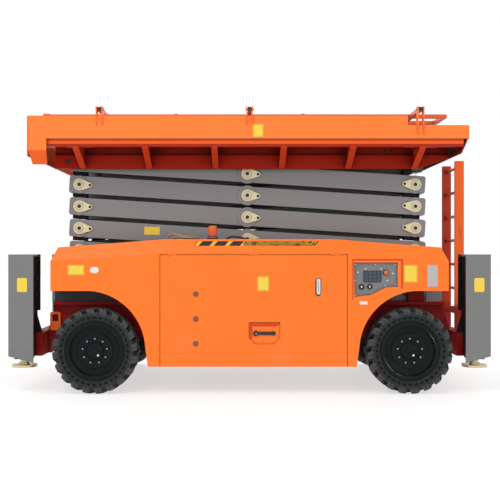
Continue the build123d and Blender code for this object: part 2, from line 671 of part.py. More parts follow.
def side_tray():
    """The open tray beside one chassis beam that carries the machinery."""
    outer_y = COVER_Y[1] - COVER_WALL
    floor_z = (TRAY_FLOOR_Z, TRAY_FLOOR_Z + TRAY_WALL)
    tray = block(TRAY_X, (SIDE_BEAM_Y[1] - TRAY_WALL, outer_y - TRAY_DOOR_GAP), floor_z)
    tray += block(TRAY_X, (SIDE_BEAM_Y[1] - TRAY_WALL, SIDE_BEAM_Y[1]), (TRAY_FLOOR_Z, SIDE_BEAM_Z[0]))
    for x in ((TRAY_X[0], TRAY_X[0] + TRAY_WALL), (TRAY_X[1] - TRAY_WALL, TRAY_X[1])):
        tray += block(x, (SIDE_BEAM_Y[1], outer_y), (TRAY_FLOOR_Z, SIDE_BEAM_Z[1]))
    return tray


def chassis_frame():
    """Side beams, cross members, end beams, pivot lugs and trays, welded into one frame."""
    frame = both_sides(side_beam() + pivot_lugs() + side_tray())
    for x in CROSS_MEMBER_X:
        frame += block(around(x, CROSS_MEMBER_WIDTH), (-SIDE_BEAM_Y[0], SIDE_BEAM_Y[0]), CROSS_MEMBER_Z)
    return frame + end_beam() + mirror(end_beam(), Plane.YZ)


def roller_channel(pin_z, x):
    """A channel, open towards the stack, that a roller at the given height runs in."""
    bottom = pin_z - ROLLER_RADIUS - ROLLER_PLAY
    top = pin_z + ROLLER_RADIUS + ROLLER_PLAY
    inner, outer = CHANNEL_Y
    web = outer - CHANNEL_WALL
    outline = [(inner, bottom - CHANNEL_WALL), (outer, bottom - CHANNEL_WALL), (outer, top + CHANNEL_WALL),
               (inner, top + CHANNEL_WALL), (inner, top), (web, top), (web, bottom), (inner, bottom)]
    return bar_x(outline, x)


def base_channels():
    """The two channels on the chassis, packed up from the ledge to their height."""
    x = (CHANNEL_FRONT_X, BASE_CHANNEL_REAR_X)
    foot_z = (LEDGE_Z[1], BASE_PIN_Z - ROLLER_RADIUS - ROLLER_PLAY)
    return both_sides(roller_channel(BASE_PIN_Z, x) + block(x, CHANNEL_Y, foot_z))


def tie_loops():
    """Upright tie-down loops on the outside of the chassis beams, one near each corner."""
    y = (SIDE_BEAM_Y[1], SIDE_BEAM_Y[1] + TIE_LOOP_THICK)
    loop = block(TIE_LOOP_X, y, TIE_LOOP_Z)
    loop = fillet(loop.edges().filter_by(Axis.Y), TIE_LOOP_FILLET)
    hole_x = (TIE_LOOP_X[0] + TIE_LOOP_BAR, TIE_LOOP_X[1] - TIE_LOOP_BAR)
    hole_z = (sum(TIE_LOOP_Z) / 2, TIE_LOOP_Z[1] - TIE_LOOP_BAR)
    loop -= block(hole_x, (y[0] - TIE_LOOP_THICK, y[1] + TIE_LOOP_THICK), hole_z)
    return both_sides(loop)


def engine_block():
    """The engine, as one plain block on the near tray."""
    floor_z = TRAY_FLOOR_Z + TRAY_WALL
    return flip_y(block(ENGINE_X, ENGINE_Y, (floor_z, floor_z + ENGINE_HEIGHT)))


# ---- Side covers --------------------------------------------------------------------------------
def cover_top_outline(inset):
    """The cover's upper outline in side view, from its front end to its rear end."""
    end_x = COVER_HALF_LENGTH - inset
    end_top = COVER_TOP_Z - END_FALL
    rear = [(FLAT_HALF_LENGTH, COVER_TOP_Z - inset), (COVER_HALF_LENGTH - END_BEVEL - inset, end_top - inset),
            (end_x, CREASE_Z - END_FALL - inset)]
    return [(-x, z) for x, z in reversed(rear)] + rear


def arch_edges(side):
    """A wheel arch's three points, from its crown to its foot: side is -1 in front and 1 behind."""
    wheel_x = AXLE_X["rear"] if side > 0 else AXLE_X["front"]
    crown = (wheel_x + side * ARCH_CROWN_X, COVER_END_Z)
    shoulder = (wheel_x - side * ARCH_SHOULDER[0], ARCH_SHOULDER[1])
    foot = (wheel_x - side * ARCH_FOOT[0], ARCH_FOOT[1])
    return crown, shoulder, foot


def cover_face():
    """The cover's whole side outline, with both wheel arches, as a face at the cover's inner side."""
    y = COVER_Y[0]
    top = [Vector(x, y, z) for x, z in cover_top_outline(0)]
    edges = [Line(start, end) for start, end in zip(top, top[1:])]
    bottoms = {}
    for side, start in ((1, top[-1]), (-1, top[0])):
        crown, shoulder, foot = [Vector(x, y, z) for x, z in arch_edges(side)]
        wheel_x = AXLE_X["rear"] if side > 0 else AXLE_X["front"]
        bottom = Vector(wheel_x - side * ARCH_BOTTOM_X, y, TRAY_FLOOR_Z)
        corner = Vector(start.X, y, COVER_END_Z)
        edges += [Line(start, corner), Line(corner, crown), ThreePointArc(crown, shoulder, foot),
                  Line(foot, bottom)]
        bottoms[side] = bottom
    edges.append(Line(bottoms[1], bottoms[-1]))
    return make_face(edges)


def bevel_cutters(inset):
    """What the slanting upper faces take off: one straight cutter and one falling to each end."""
    rise = COVER_TOP_Z - CREASE_Z
    slope_length = hypot(BEVEL_WIDTH, rise)
    shift_y = -inset * rise / slope_length
    shift_z = -inset * BEVEL_WIDTH / slope_length
    outer = COVER_Y[1]
    wedge = [(outer, CREASE_Z), (outer - BEVEL_WIDTH, COVER_TOP_Z), (outer - BEVEL_WIDTH, COVER_TOP_Z + rise),
             (outer + rise, COVER_TOP_Z + rise), (outer + rise, CREASE_Z)]
    wedge = [(y + shift_y, z + shift_z) for y, z in wedge]
    cutters = [bar_x(wedge, (-FLAT_HALF_LENGTH, FLAT_HALF_LENGTH))]
    for side in (1, -1):
        faces = []
        for x, fall in ((FLAT_HALF_LENGTH, 0), (COVER_HALF_LENGTH, END_FALL)):
            points = [(side * x, y, z - fall) for y, z in wedge]
            faces.append(make_face(Polyline(*points, close=True)))
        cutters.append(loft(faces, ruled=True))
    return cutters


def side_cover():
    """One side cover: an outer skin with the arches, slanting shoulders, top, ends and inner wall."""
    shell = extrude(cover_face(), amount=COVER_Y[1] - COVER_Y[0], dir=(0, 1, 0))
    for cutter in bevel_cutters(0):
        shell -= cutter
    top = cover_top_outline(COVER_WALL)
    cavity = bar_y(top + [(top[-1][0], 0), (top[0][0], 0)], (COVER_Y[0] + TRAY_WALL, COVER_Y[1] - COVER_WALL))
    for cutter in bevel_cutters(COVER_WALL):
        cavity -= cutter
    skin_y = (COVER_Y[1] - 2 * COVER_WALL, COVER_Y[1] + COVER_WALL)
    shell = shell - cavity - block(DOOR_X, skin_y, (0, DOOR_TOP_Z))
    shell -= block(around(0, 2 * COVER_HALF_LENGTH), (0, COVER_Y[1] - COVER_WALL), (0, LEDGE_Z[1]))
    for x in HINGE_X:
        shell -= hinge_knuckle((x - HINGE_GAP, x + HINGE_KNUCKLE + HINGE_GAP), HINGE_RADIUS + HINGE_GAP)
        shell += hinge_knuckle((x - HINGE_KNUCKLE, x), HINGE_RADIUS)
        shell += hinge_knuckle((x - HINGE_KNUCKLE, x + HINGE_KNUCKLE), HINGE_PIN_RADIUS)
    return shell


def hinge_knuckle(x, radius):
    """A length of round bar on the door's hinge line."""
    return round_x(COVER_Y[1], DOOR_TOP_Z - DOOR_GAP / 2, radius, x)


def side_door():
    """One side door, hung from its top edge, with its latch recess, lock slot and bolt heads."""
    outer = COVER_Y[1]
    inner = outer - COVER_WALL
    door = block((DOOR_X[0] + DOOR_GAP, DOOR_X[1] - DOOR_GAP), (inner, outer), (TRAY_FLOOR_Z, DOOR_TOP_Z - DOOR_GAP))
    recess = (outer - RECESS_DEPTH, outer + RECESS_DEPTH)
    pocket = block(LATCH_RECESS_X, recess, LATCH_RECESS_Z)
    door -= chamfer(pocket.edges().filter_by(Axis.Y).group_by(Axis.Z)[0], LATCH_RECESS_CORNER)
    slot = block(around(LOCK_SLOT_X, LOCK_SLOT_WIDTH), recess, LOCK_SLOT_Z)
    door -= fillet(slot.edges().filter_by(Axis.Y), LOCK_SLOT_WIDTH / 2 - PIN_FIT)
    door += round_x(outer - RECESS_DEPTH, LATCH_BAR_Z, LATCH_BAR_RADIUS, LATCH_BAR_X)
    for z in DOOR_BOLT_Z:
        door += round_y(DOOR_BOLT_X, z, DOOR_BOLT_RADIUS, (outer, outer + DOOR_BOLT_HEIGHT))
    for x in HINGE_X:
        door -= hinge_knuckle((x - HINGE_KNUCKLE - HINGE_GAP, x + HINGE_GAP), HINGE_RADIUS + HINGE_GAP)
        door += hinge_knuckle((x + HINGE_GAP, x + HINGE_KNUCKLE), HINGE_RADIUS)
        door -= hinge_knuckle((x, x + HINGE_KNUCKLE + HINGE_GAP), HINGE_PIN_RADIUS + PIN_FIT)
    return door


def control_window():
    """The opening in the near cover's skin for the ground controls."""
    return bar_y(PANEL_OUTLINE, (COVER_Y[1] - 2 * COVER_WALL, COVER_Y[1] + COVER_WALL))


def control_panel():
    """The ground-control plate, lapped behind the edges of its opening."""
    window = make_face(Polyline(*PANEL_OUTLINE, close=True))
    plate = extrude(offset(window, PANEL_LAP, kind=Kind.INTERSECTION), PANEL_THICK)
    return flip_y(Pos(0, COVER_Y[1] - COVER_WALL, 0) * Rot(90, 0, 0) * plate)


def beacon():
    """The warning beacon on the near cover's top."""
    base_z = COVER_TOP_Z
    base = round_z(BEACON_X, BEACON_Y, BEACON_BASE_RADIUS, (base_z, base_z + BEACON_BASE_HEIGHT))
    dome_z = (base_z + BEACON_BASE_HEIGHT, base_z + BEACON_BASE_HEIGHT + BEACON_HEIGHT)
    dome = round_z(BEACON_X, BEACON_Y, BEACON_RADIUS, dome_z)
    dome = fillet(dome.edges().filter_by(GeomType.CIRCLE).group_by(Axis.Z)[-1], BEACON_FILLET)
    return flip_y(base + dome)


# ---- Outriggers ---------------------------------------------------------------------------------
def at_corners(shape):
    """A piece built at the rear far corner, put on all four corners of the machine."""
    rear = both_sides(shape)
    return rear + mirror(rear, Plane.YZ)


def outrigger_leg():
    """A square leg tube, open below, with the dark plate that closes its shroud and its brace."""
    x = around(LEG_X, LEG_SIZE)
    y = around(LEG_Y, LEG_SIZE)
    bore = LEG_SIZE - 2 * LEG_WALL
    leg = block(x, y, LEG_Z)
    plate = block((x[0] - LEG_PLATE, x[0]), (SHROUD_Y[0], SHROUD_Y[1] - SHROUD_WALL), (END_BEAM_Z[1], LEG_Z[1]))
    cap = block((SHROUD_X[0], SHROUD_X[1] - SHROUD_WALL), (SHROUD_Y[0], SHROUD_Y[1] - SHROUD_WALL),
                (LEG_Z[1], LEG_Z[1] + LEG_CAP))
    brace = bar_y([(END_BEAM_X[0], END_BEAM_Z[1]), (x[0], END_BEAM_Z[1]), (x[0], BRACE_TOP_Z),
                   (x[0] - LEG_PLATE, BRACE_TOP_Z)], (y[0] - BRACE_THICK, y[0]))
    cavity = block(around(LEG_X, bore), around(LEG_Y, bore), (0, LEG_Z[1] - LEG_WALL))
    return leg + plate + cap + brace - cavity


def outrigger_shroud():
    """The grey sheet shroud around a leg: outer side, outer end and a short inner flank."""
    high, low = SHROUD_BOTTOM_Z
    side = [(SHROUD_X[0], high), (SHROUD_X[1], low), (SHROUD_X[1], SHROUD_TOP_Z), (SHROUD_X[0], SHROUD_TOP_Z)]
    shroud = bar_y(side, (SHROUD_Y[1] - SHROUD_WALL, SHROUD_Y[1]))
    end_x = (SHROUD_X[1] - SHROUD_WALL, SHROUD_X[1])
    shroud += block(end_x, SHROUD_Y, (low, SHROUD_TOP_Z))
    flank_y = (SHROUD_Y[0] - SHROUD_WALL, SHROUD_Y[0])
    shroud += block((SHROUD_X[0], SHROUD_X[1]), flank_y, (SHROUD_FLANK_Z, SHROUD_TOP_Z))
    return shroud


def outrigger_foot():
    """A sliding inner leg with its stem, ball seat and round pad."""
    size = LEG_SIZE - 2 * LEG_WALL - 2 * LEG_FIT
    ball_top = FOOT_PAD_Z[1] + FOOT_BALL_HEIGHT
    foot = block(around(LEG_X, size), around(LEG_Y, size), (LEG_Z[0], FOOT_TOP_Z))
    foot += round_z(LEG_X, LEG_Y, FOOT_STEM_RADIUS, (FOOT_PAD_Z[1], LEG_Z[0]))
    foot += round_z(LEG_X, LEG_Y, FOOT_BALL_RADIUS, (FOOT_PAD_Z[1], ball_top))
    return foot + round_z(LEG_X, LEG_Y, FOOT_PAD_RADIUS, FOOT_PAD_Z)


def foot_nodes():
    """One sliding foot at each corner."""
    nodes = {}
    for end in AXLE_X:
        for side in SIDES:
            foot = on_side(outrigger_foot(), side)
            nodes[f"foot_{end}_{side}"] = mirror(foot, Plane.YZ) if end == "front" else foot
    return nodes


# ---- Ladder -------------------------------------------------------------------------------------
def ladder():
    """The access ladder behind the machine, on stays from the end beam."""
    rail_y = (LADDER_HALF_WIDTH - LADDER_RAIL, LADDER_HALF_WIDTH)
    rail = block(LADDER_X, rail_y, LADDER_Z)
    rail = chamfer(rail.edges().filter_by(Axis.Y).group_by(Axis.Z)[-1], LADDER_CORNER)
    for z in LADDER_STAY_Z:
        start = END_BEAM_X[1] if z < END_BEAM_Z[1] else END_BEAM_X[0]
        rail += block((start, LADDER_X[0]), rail_y, (z, z + LADDER_STAY))
    rail += block((END_BEAM_X[0], END_BEAM_X[0] + LADDER_RAIL), rail_y,
                  (END_BEAM_Z[1], LADDER_STAY_Z[1] + LADDER_STAY))
    frame = both_sides(rail)
    middle_x = sum(LADDER_X) / 2
    for number in range(RUNG_COUNT):
        frame += round_y(middle_x, RUNG_FIRST_Z + number * RUNG_PITCH, RUNG_RADIUS, (-rail_y[0], rail_y[0]))
    return frame


# ---- Platform -----------------------------------------------------------------------------------
def spaced(ends, count):
    """Evenly spaced places from one end to the other."""
    return [ends[0] + (ends[1] - ends[0]) * number / (count - 1) for number in range(count)]


def gusset(x):
    """A sloping T-shaped bracket from the bottom of a roller channel up to the edge tube."""
    inner_y = CHANNEL_Y[1]
    edge_y, outer_y = EDGE_TUBE_Y
    tube_z = EDGE_TUBE_Z[0]
    joist_z = FLOOR_Z - JOIST_HEIGHT
    half = ROLLER_RADIUS + ROLLER_PLAY + CHANNEL_WALL
    low_z = TOP_PIN_Z - half
    foot = [(inner_y, low_z), (outer_y, tube_z - GUSSET_FLANGE_THICK), (outer_y, tube_z)]
    web = foot + [(edge_y, tube_z), (edge_y, joist_z), (WEB_Y[1], joist_z), (WEB_Y[1], TOP_PIN_Z + half),
                  (inner_y, TOP_PIN_Z + half)]
    flange = foot + [(inner_y, low_z + GUSSET_FLANGE_THICK)]
    return bar_x(web, around(x, GUSSET_WEB)) + bar_x(flange, around(x, GUSSET_FLANGE))


def tail_plate_x(z):
    """The inner face of the sloping tail plate at a height below the floor."""
    return PLATFORM_REAR_X - FASCIA_THICK - TAIL_PLATE_INSET * (FLOOR_Z - z) / (FLOOR_Z - TAIL_PLATE_Z)


def platform_channels():
    """The platform's two roller channels with their webs and the fixed pivot shaft between them."""
    x = (CHANNEL_FRONT_X, RAIL_CHANNEL_REAR_X)
    half = ROLLER_RADIUS + ROLLER_PLAY
    channel = roller_channel(TOP_PIN_Z, x) + block(x, WEB_Y, (TOP_PIN_Z + half, FLOOR_Z - JOIST_HEIGHT))
    bottom_z = TOP_PIN_Z - half - CHANNEL_WALL
    corner = [(x[1] - CHANNEL_CUT[0], bottom_z), (x[1], bottom_z), (x[1], bottom_z + CHANNEL_CUT[1])]
    channel -= bar_y(corner, CHANNEL_Y)
    shaft_y = CHANNEL_Y[1] - CHANNEL_WALL
    return both_sides(channel) + round_y(FIXED_PIN_X, TOP_PIN_Z, SHAFT_RADIUS, (-shaft_y, shaft_y))


def platform_joists():
    """The cross joists under the floor."""
    y = (-EDGE_TUBE_Y[0], EDGE_TUBE_Y[0])
    z = (FLOOR_Z - JOIST_HEIGHT, FLOOR_Z)
    return Part() + [block(around(x, JOIST_WIDTH), y, z) for x in spaced(JOIST_X, JOIST_COUNT)]


def platform_edge_tubes():
    """The long tubes that close the joists' ends."""
    return both_sides(block((CHANNEL_FRONT_X, tail_plate_x(EDGE_TUBE_Z[0])), EDGE_TUBE_Y, EDGE_TUBE_Z))


def platform_gussets():
    """The brackets between the roller channels and the edge tubes."""
    places = [GUSSET_FIRST_X + number * GUSSET_PITCH for number in range(GUSSET_COUNT)]
    return both_sides(Part() + [gusset(x) for x in places])


def platform_floor():
    """The fixed floor plate."""
    return block((CHANNEL_FRONT_X, PLATFORM_REAR_X - FASCIA_THICK), (-FASCIA_INNER_Y, FASCIA_INNER_Y),
                 (FLOOR_Z, FLOOR_Z + FLOOR_THICK))


def platform_fascia():
    """The orange side sheets with their front caps and the rail ears."""
    outline = [(PLATFORM_FRONT_X, CAP_BOTTOM_Z), (CAP_REAR_X, CAP_BOTTOM_Z), (CAP_REAR_X, FLOOR_Z),
               (PLATFORM_REAR_X, FLOOR_Z), (PLATFORM_REAR_X, FASCIA_LOW_Z), (FASCIA_LOW_X, FASCIA_LOW_Z),
               (FASCIA_LOW_X, FASCIA_TOP_Z), (PLATFORM_FRONT_X, FASCIA_TOP_Z)]
    side = bar_y(outline, (FASCIA_INNER_Y, FASCIA_OUTER_Y))
    skirt = [(FASCIA_OUTER_Y, CAP_BOTTOM_Z), (FASCIA_OUTER_Y - CAP_SKIRT_INSET, CAP_SKIRT_Z),
             (FASCIA_INNER_Y - CAP_SKIRT_INSET, CAP_SKIRT_Z), (FASCIA_INNER_Y, CAP_BOTTOM_Z)]
    side += bar_x(skirt, (PLATFORM_FRONT_X, CAP_REAR_X))
    side -= bar_y([(PLATFORM_FRONT_X, CAP_BOTTOM_Z), (PLATFORM_FRONT_X, CAP_SKIRT_Z),
                   (PLATFORM_FRONT_X + CAP_FRONT_INSET, CAP_SKIRT_Z)], (0, FASCIA_OUTER_Y))
    for x in RAIL_POST_X:
        side += rail_ears(x)
    return both_sides(side)


def platform_tail():
    """The sheet across the platform's rear end, with its sloping skirt."""
    x = (PLATFORM_REAR_X - FASCIA_THICK, PLATFORM_REAR_X)
    skirt = [(x[0], FLOOR_Z), (x[0] - TAIL_PLATE_INSET, TAIL_PLATE_Z), (x[1] - TAIL_PLATE_INSET, TAIL_PLATE_Z),
             (x[1], FLOOR_Z)]
    sheet = block(x, (-FASCIA_INNER_Y, FASCIA_INNER_Y), (FLOOR_Z, FASCIA_LOW_Z))
    return sheet + bar_y(skirt, (-TAIL_HALF_WIDTH, TAIL_HALF_WIDTH))


def extension_deck():
    """The roll-out deck: a floor on runners with a deep nose panel in front."""
    nose_rear = PLATFORM_FRONT_X - NOSE_GAP
    floor_top = FLOOR_Z + FLOOR_THICK
    floor_z = (floor_top + EXTENSION_RISE, floor_top + EXTENSION_RISE + EXTENSION_THICK)
    half = (-EXTENSION_HALF_WIDTH, EXTENSION_HALF_WIDTH)
    deck = block((nose_rear, EXTENSION_REAR_X), half, floor_z)
    runner = block((CHANNEL_FRONT_X, EXTENSION_REAR_X), around(RUNNER_Y, RUNNER_WIDTH),
                   (floor_top + RUNNER_PLAY, floor_z[0]))
    nose = block((nose_rear - NOSE_THICK, nose_rear), (-NOSE_HALF_WIDTH, NOSE_HALF_WIDTH),
                 (NOSE_BOTTOM_Z, FASCIA_TOP_Z))
    return deck + both_sides(runner) + nose


# ---- Guard rails --------------------------------------------------------------------------------
def rail_ears(x):
    """Two upright plates and a pin that a folding rail's post turns on."""
    top_z = RAIL_PIVOT_Z + EAR_TOP
    half = RAIL_TUBE / 2 + EAR_GAP
    foot_z = (FASCIA_TOP_Z if x < FASCIA_LOW_X else FASCIA_LOW_Z) - EAR_DROP
    ears = round_x(RAIL_PIVOT_Y, RAIL_PIVOT_Z, RAIL_PIN_RADIUS, around(x, 2 * half))
    for start in (x - half - EAR_PLATE, x + half):
        ears += block((start, start + EAR_PLATE), EAR_Y, (foot_z, top_z))
    return ears


def side_rail():
    """A side guard rail at +Y, lying inwards from its ears, with its end posts cut short."""
    half = RAIL_TUBE / 2
    z = around(RAIL_PIVOT_Z, RAIL_TUBE)
    rail = None
    for reach in (MID_RAIL_REACH, TOP_RAIL_REACH):
        tube = block((RAIL_END_X[0], RAIL_END_X[1]), around(RAIL_PIVOT_Y - reach, RAIL_TUBE), z)
        rail = tube if rail is None else rail + tube
    for x in RAIL_POST_X:
        rail += block(around(x, RAIL_TUBE), (RAIL_PIVOT_Y - TOP_RAIL_REACH, RAIL_PIVOT_Y + RAIL_TAIL), z)
    for x in ((RAIL_END_X[0], RAIL_END_X[0] + RAIL_TUBE), (RAIL_END_X[1] - RAIL_TUBE, RAIL_END_X[1])):
        rail += block(x, (RAIL_PIVOT_Y - TOP_RAIL_REACH, RAIL_PIVOT_Y - MID_RAIL_REACH), z)
    for x in RAIL_POST_X:
        rail -= round_x(RAIL_PIVOT_Y, RAIL_PIVOT_Z, RAIL_PIN_RADIUS + PIN_FIT, around(x, 4 * half))
    return rail


def end_rail(hinge_x, into, middle_z):
    """An end guard rail folded flat, hinged at one end and lying towards the middle."""
    size = END_RAIL_TUBE
    z = around(middle_z, size)
    frame = None
    for reach in (END_RAIL_MID, END_RAIL_REACH):
        x = hinge_x + into * reach
        tube = block(around(x, size), (-END_RAIL_HALF_WIDTH, END_RAIL_HALF_WIDTH), z)
        frame = tube if frame is None else frame + tube
    far_x = hinge_x + into * END_RAIL_REACH
    for y in (END_RAIL_HALF_WIDTH - size, -END_RAIL_HALF_WIDTH):
        frame += block(sorted((hinge_x, far_x)), (y, y + size), z)
    return frame


# ---- The whole machine --------------------------------------------------------------------------
def all_nodes():
    """Every piece of the machine, by its name."""
    cover = side_cover()
    nodes = {
        "chassis_frame": chassis_frame(),
        "base_channels": base_channels(),
        "tie_down_loops": tie_loops(),
        "engine_block": engine_block(),
        "side_cover_near": flip_y(cover) - flip_y(control_window()),
        "side_cover_far": cover,
        "side_door_near": flip_y(side_door()),
        "side_door_far": side_door(),
        "control_panel": control_panel(),
        "beacon": beacon(),
        "axle_front": front_axle(),
        "axle_rear": rear_axle(),
        "knuckle_near": flip_y(knuckle()),
        "knuckle_far": knuckle(),
        "outrigger_legs": at_corners(outrigger_leg()),
        "outrigger_shrouds": at_corners(outrigger_shroud()),
        "ladder": ladder(),
        "platform_channels": platform_channels(),
        "platform_joists": platform_joists(),
        "platform_edge_tubes": platform_edge_tubes(),
        "platform_gussets": platform_gussets(),
        "platform_floor": platform_floor(),
        "platform_fascia": platform_fascia(),
        "platform_tail": platform_tail(),
        "extension_deck": extension_deck(),
        "side_rail_near": flip_y(side_rail()),
        "side_rail_far": side_rail(),
        "front_rail": end_rail(PLATFORM_FRONT_X - NOSE_GAP, 1, FRONT_RAIL_Z),
        "rear_rail": end_rail(PLATFORM_REAR_X - FASCIA_THICK, -1, REAR_RAIL_Z),
    }
    for group in (wheel_nodes(), foot_nodes(), arm_nodes(), cylinder_nodes()):
        nodes.update(group)
    return nodes


os.makedirs("parts", exist_ok=True)
for name, shape in all_nodes().items():
    export_step(shape, f"parts/{name}.step")
    print(name, len(shape.solids()))
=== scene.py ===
import math

import bmesh
import bpy
from mathutils import Matrix, Vector


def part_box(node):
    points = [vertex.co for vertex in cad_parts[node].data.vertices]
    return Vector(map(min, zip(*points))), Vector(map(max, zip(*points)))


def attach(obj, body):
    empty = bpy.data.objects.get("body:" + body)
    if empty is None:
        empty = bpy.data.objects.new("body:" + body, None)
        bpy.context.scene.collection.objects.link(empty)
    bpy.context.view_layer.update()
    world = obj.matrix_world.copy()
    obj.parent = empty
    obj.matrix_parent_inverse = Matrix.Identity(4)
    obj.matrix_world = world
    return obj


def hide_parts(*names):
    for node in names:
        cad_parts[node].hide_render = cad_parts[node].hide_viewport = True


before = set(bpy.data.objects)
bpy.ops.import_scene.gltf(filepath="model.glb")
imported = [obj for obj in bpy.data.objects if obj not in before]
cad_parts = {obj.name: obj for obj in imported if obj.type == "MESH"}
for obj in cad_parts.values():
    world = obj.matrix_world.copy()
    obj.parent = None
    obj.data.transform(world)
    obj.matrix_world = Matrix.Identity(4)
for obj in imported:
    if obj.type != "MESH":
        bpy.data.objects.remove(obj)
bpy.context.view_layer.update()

SIDES = {"near": -1, "far": 1}
ENDS = {"front": -1, "rear": 1}

# Places on the solids, in metres. A _Y is counted outwards from the middle plane on either side.
SKIN_Y = 1.12  # outer face of the side covers and doors
CONTROL_Y = SKIN_Y - 0.02  # face of the ground-control plate
SHOULDER_Z, SHOULDER_IN = (1.38, 1.517), 0.066  # the cover's shoulder: its heights, and its lean
FASCIA_Y = 1.13  # outer face of the platform's side sheets
# heights of the painted shade low on the fascia, on the edge tubes and on the tail's skirt
FASCIA_EDGE_Z, EDGE_TUBE_Z, TAIL_SKIRT_Z = (2.383, 2.391), (2.448, 2.457), (2.44, 2.5)
SHROUD_Y, SHROUD_INNER_Y, SHROUD_INNER_X = 1.11, 1.104, 2.15
FOOT_PAD_Z = 0.329  # top of the jacks' pads
ARM_Y, INNER_ARM_Y, SHAFT_Y = 0.6, 0.49, 0.374  # outer faces of the bars and of the cross shafts
KEEPER_Y, KEEPER_PAINT_Y, KEEPER_HEAD_Y = 0.613, 0.6052, 0.6131  # the plates that hold the pins
RAIL_POSTS_X = (-1.47, 0.002, 1.674)
RAIL_TUBE_Z, RAIL_PLUG_HALF = (2.7705, 2.8095), 0.0195
BEACON_AT = (-0.366, -0.985, SHOULDER_Z[1])
LATCH_Z = 0.592

# The folded scissor stack: its first outer arm's middle, and what each stage adds in height.
STAGES = 6
STAGE_RISE, ARM_PITCH, ARM_DEPTH = 0.2265, 3.5, 0.182
STAGE_ONE = Vector((-0.01833, 0, 1.07325))
FOLD = math.asin(STAGE_RISE / ARM_PITCH)

ORANGE = (0.91, 0.176, 0.022)
ARM_GREY = (0.218, 0.222, 0.226)
ROAD_DUST = (0.3, 0.24, 0.18)


# ---- Materials ----
class Shade:
    """A small builder for one material's nodes. Coordinates are the object's own, in metres."""

    def __init__(self, name):
        self.mat = bpy.data.materials.new(name)
        self.mat.use_nodes = True
        self.tree = self.mat.node_tree
        self.tree.nodes.clear()
        self.main = self.add("BsdfPrincipled")
        self.link(self.main.outputs[0], self.add("OutputMaterial").inputs[0])
        self.place = self.add("TexCoord").outputs["Object"]
        split = self.add("SeparateXYZ")
        self.link(self.place, split.inputs[0])
        self.x, self.y, self.z = split.outputs

    def add(self, kind, **given):
        """A new shader node, with what is given put into the inputs of those names."""
        node = self.tree.nodes.new("ShaderNode" + kind)
        for name, value in given.items():
            self.put(value, node.inputs[name])
        return node

    def link(self, a, b):
        self.tree.links.new(a, b)

    def put(self, value, socket):
        """Give a socket a number, a colour or vector, or another node's output."""
        if isinstance(value, (int, float)):
            socket.default_value = value
        elif isinstance(value, tuple):
            socket.default_value = (*value, 1) if len(socket.default_value) == 4 else value
        else:
            self.link(value, socket)

    def math(self, op, a, b=0):
        node = self.add("Math")
        node.operation = op
        self.put(a, node.inputs[0])
        self.put(b, node.inputs[1])
        return node.outputs[0]

    def times(self, a, b):
        return self.math("MULTIPLY", a, b)

    def below(self, value, limit):
        return self.math("LESS_THAN", value, limit)

    def above(self, value, limit):
        return self.math("GREATER_THAN", value, limit)

    def size_of(self, value):
        return self.math("ABSOLUTE", value)

    def noise(self, scale, detail=3, rough=0.5, stretch=None):
        place = self.place
        if stretch:
            place = self.add("Mapping", Vector=place, Scale=stretch).outputs[0]
        return self.add("TexNoise", Vector=place, Scale=scale, Detail=detail,
                        Roughness=rough).outputs[0]

    def cells(self, scale):
        return self.add("TexVoronoi", Vector=self.place, Scale=scale).outputs["Distance"]

    def ramp(self, value, low, high, to_low=0, to_high=1):
        node = self.add("MapRange")
        node.interpolation_type = "SMOOTHSTEP"
        self.put(value, node.inputs[0])
        for socket, number in zip(node.inputs[1:5], (low, high, to_low, to_high)):
            self.put(number, socket)
        return node.outputs[0]

    def mix(self, factor, a, b):
        node = self.add("Mix")
        node.data_type = "RGBA"
        self.put(factor, node.inputs[0])
        self.put(a, node.inputs[6])
        self.put(b, node.inputs[7])
        return node.outputs[2]

    def bump(self, height, strength, distance, after=None):
        node = self.add("Bump", Height=height, Strength=strength, Distance=distance)
        if after:
            self.link(after, node.inputs["Normal"])
        return node.outputs[0]

    def soft(self, radius):
        """Normals that round every edge off by a small radius, so that edges catch the light."""
        node = self.add("Bevel", Radius=radius)
        node.samples = 3
        return node.outputs[0]

    def shade_mask(self, reach, low=0.35, high=0.92):
        """1 in corners and under overhangs, where shade falls, falling to 0 on open faces: the mask
        for painted shade.
        """
        node = self.add("AmbientOcclusion", Distance=reach)
        node.samples = 4
        return self.ramp(node.outputs["AO"], low, high, 1, 0)

    def mottle(self, colour, low, high, scale, detail=3, rough=0.5):
        """A colour that wanders between two tints of itself."""
        return self.mix(self.noise(scale, detail, rough), tinted(colour, low), tinted(colour, high))

    def wash(self, tone, mask, strength, colour):
        """A tone with a second colour laid over it where a mask says, up to a strength."""
        return self.mix(self.times(mask, strength), tone, colour)

    def gloss(self, low, high, scale, detail=3, rough=0.5, stretch=None):
        """Roughness that wanders between two values."""
        return self.ramp(self.noise(scale, detail, rough, stretch), 0.3, 0.7, low, high)

    def grain(self, scale, strength, distance, detail=3, rough=0.5, stretch=None, after=None):
        """Fine bumps, on top of the normals given in after."""
        return self.bump(self.noise(scale, detail, rough, stretch), strength, distance, after)

    def done(self, colour, rough, normal=None, metal=0, shine=0.5, **more):
        """The finished material. In the names of more sockets, _ stands for a space."""
        more.update(Base_Color=colour, Roughness=rough, Metallic=metal, Specular_IOR_Level=shine)
        if normal:
            more["Normal"] = normal
        for name, value in more.items():
            self.put(value, self.main.inputs[name.replace("_", " ")])
        return self.mat


def tinted(colour, factor):
    return tuple(min(1, c * factor) for c in colour)


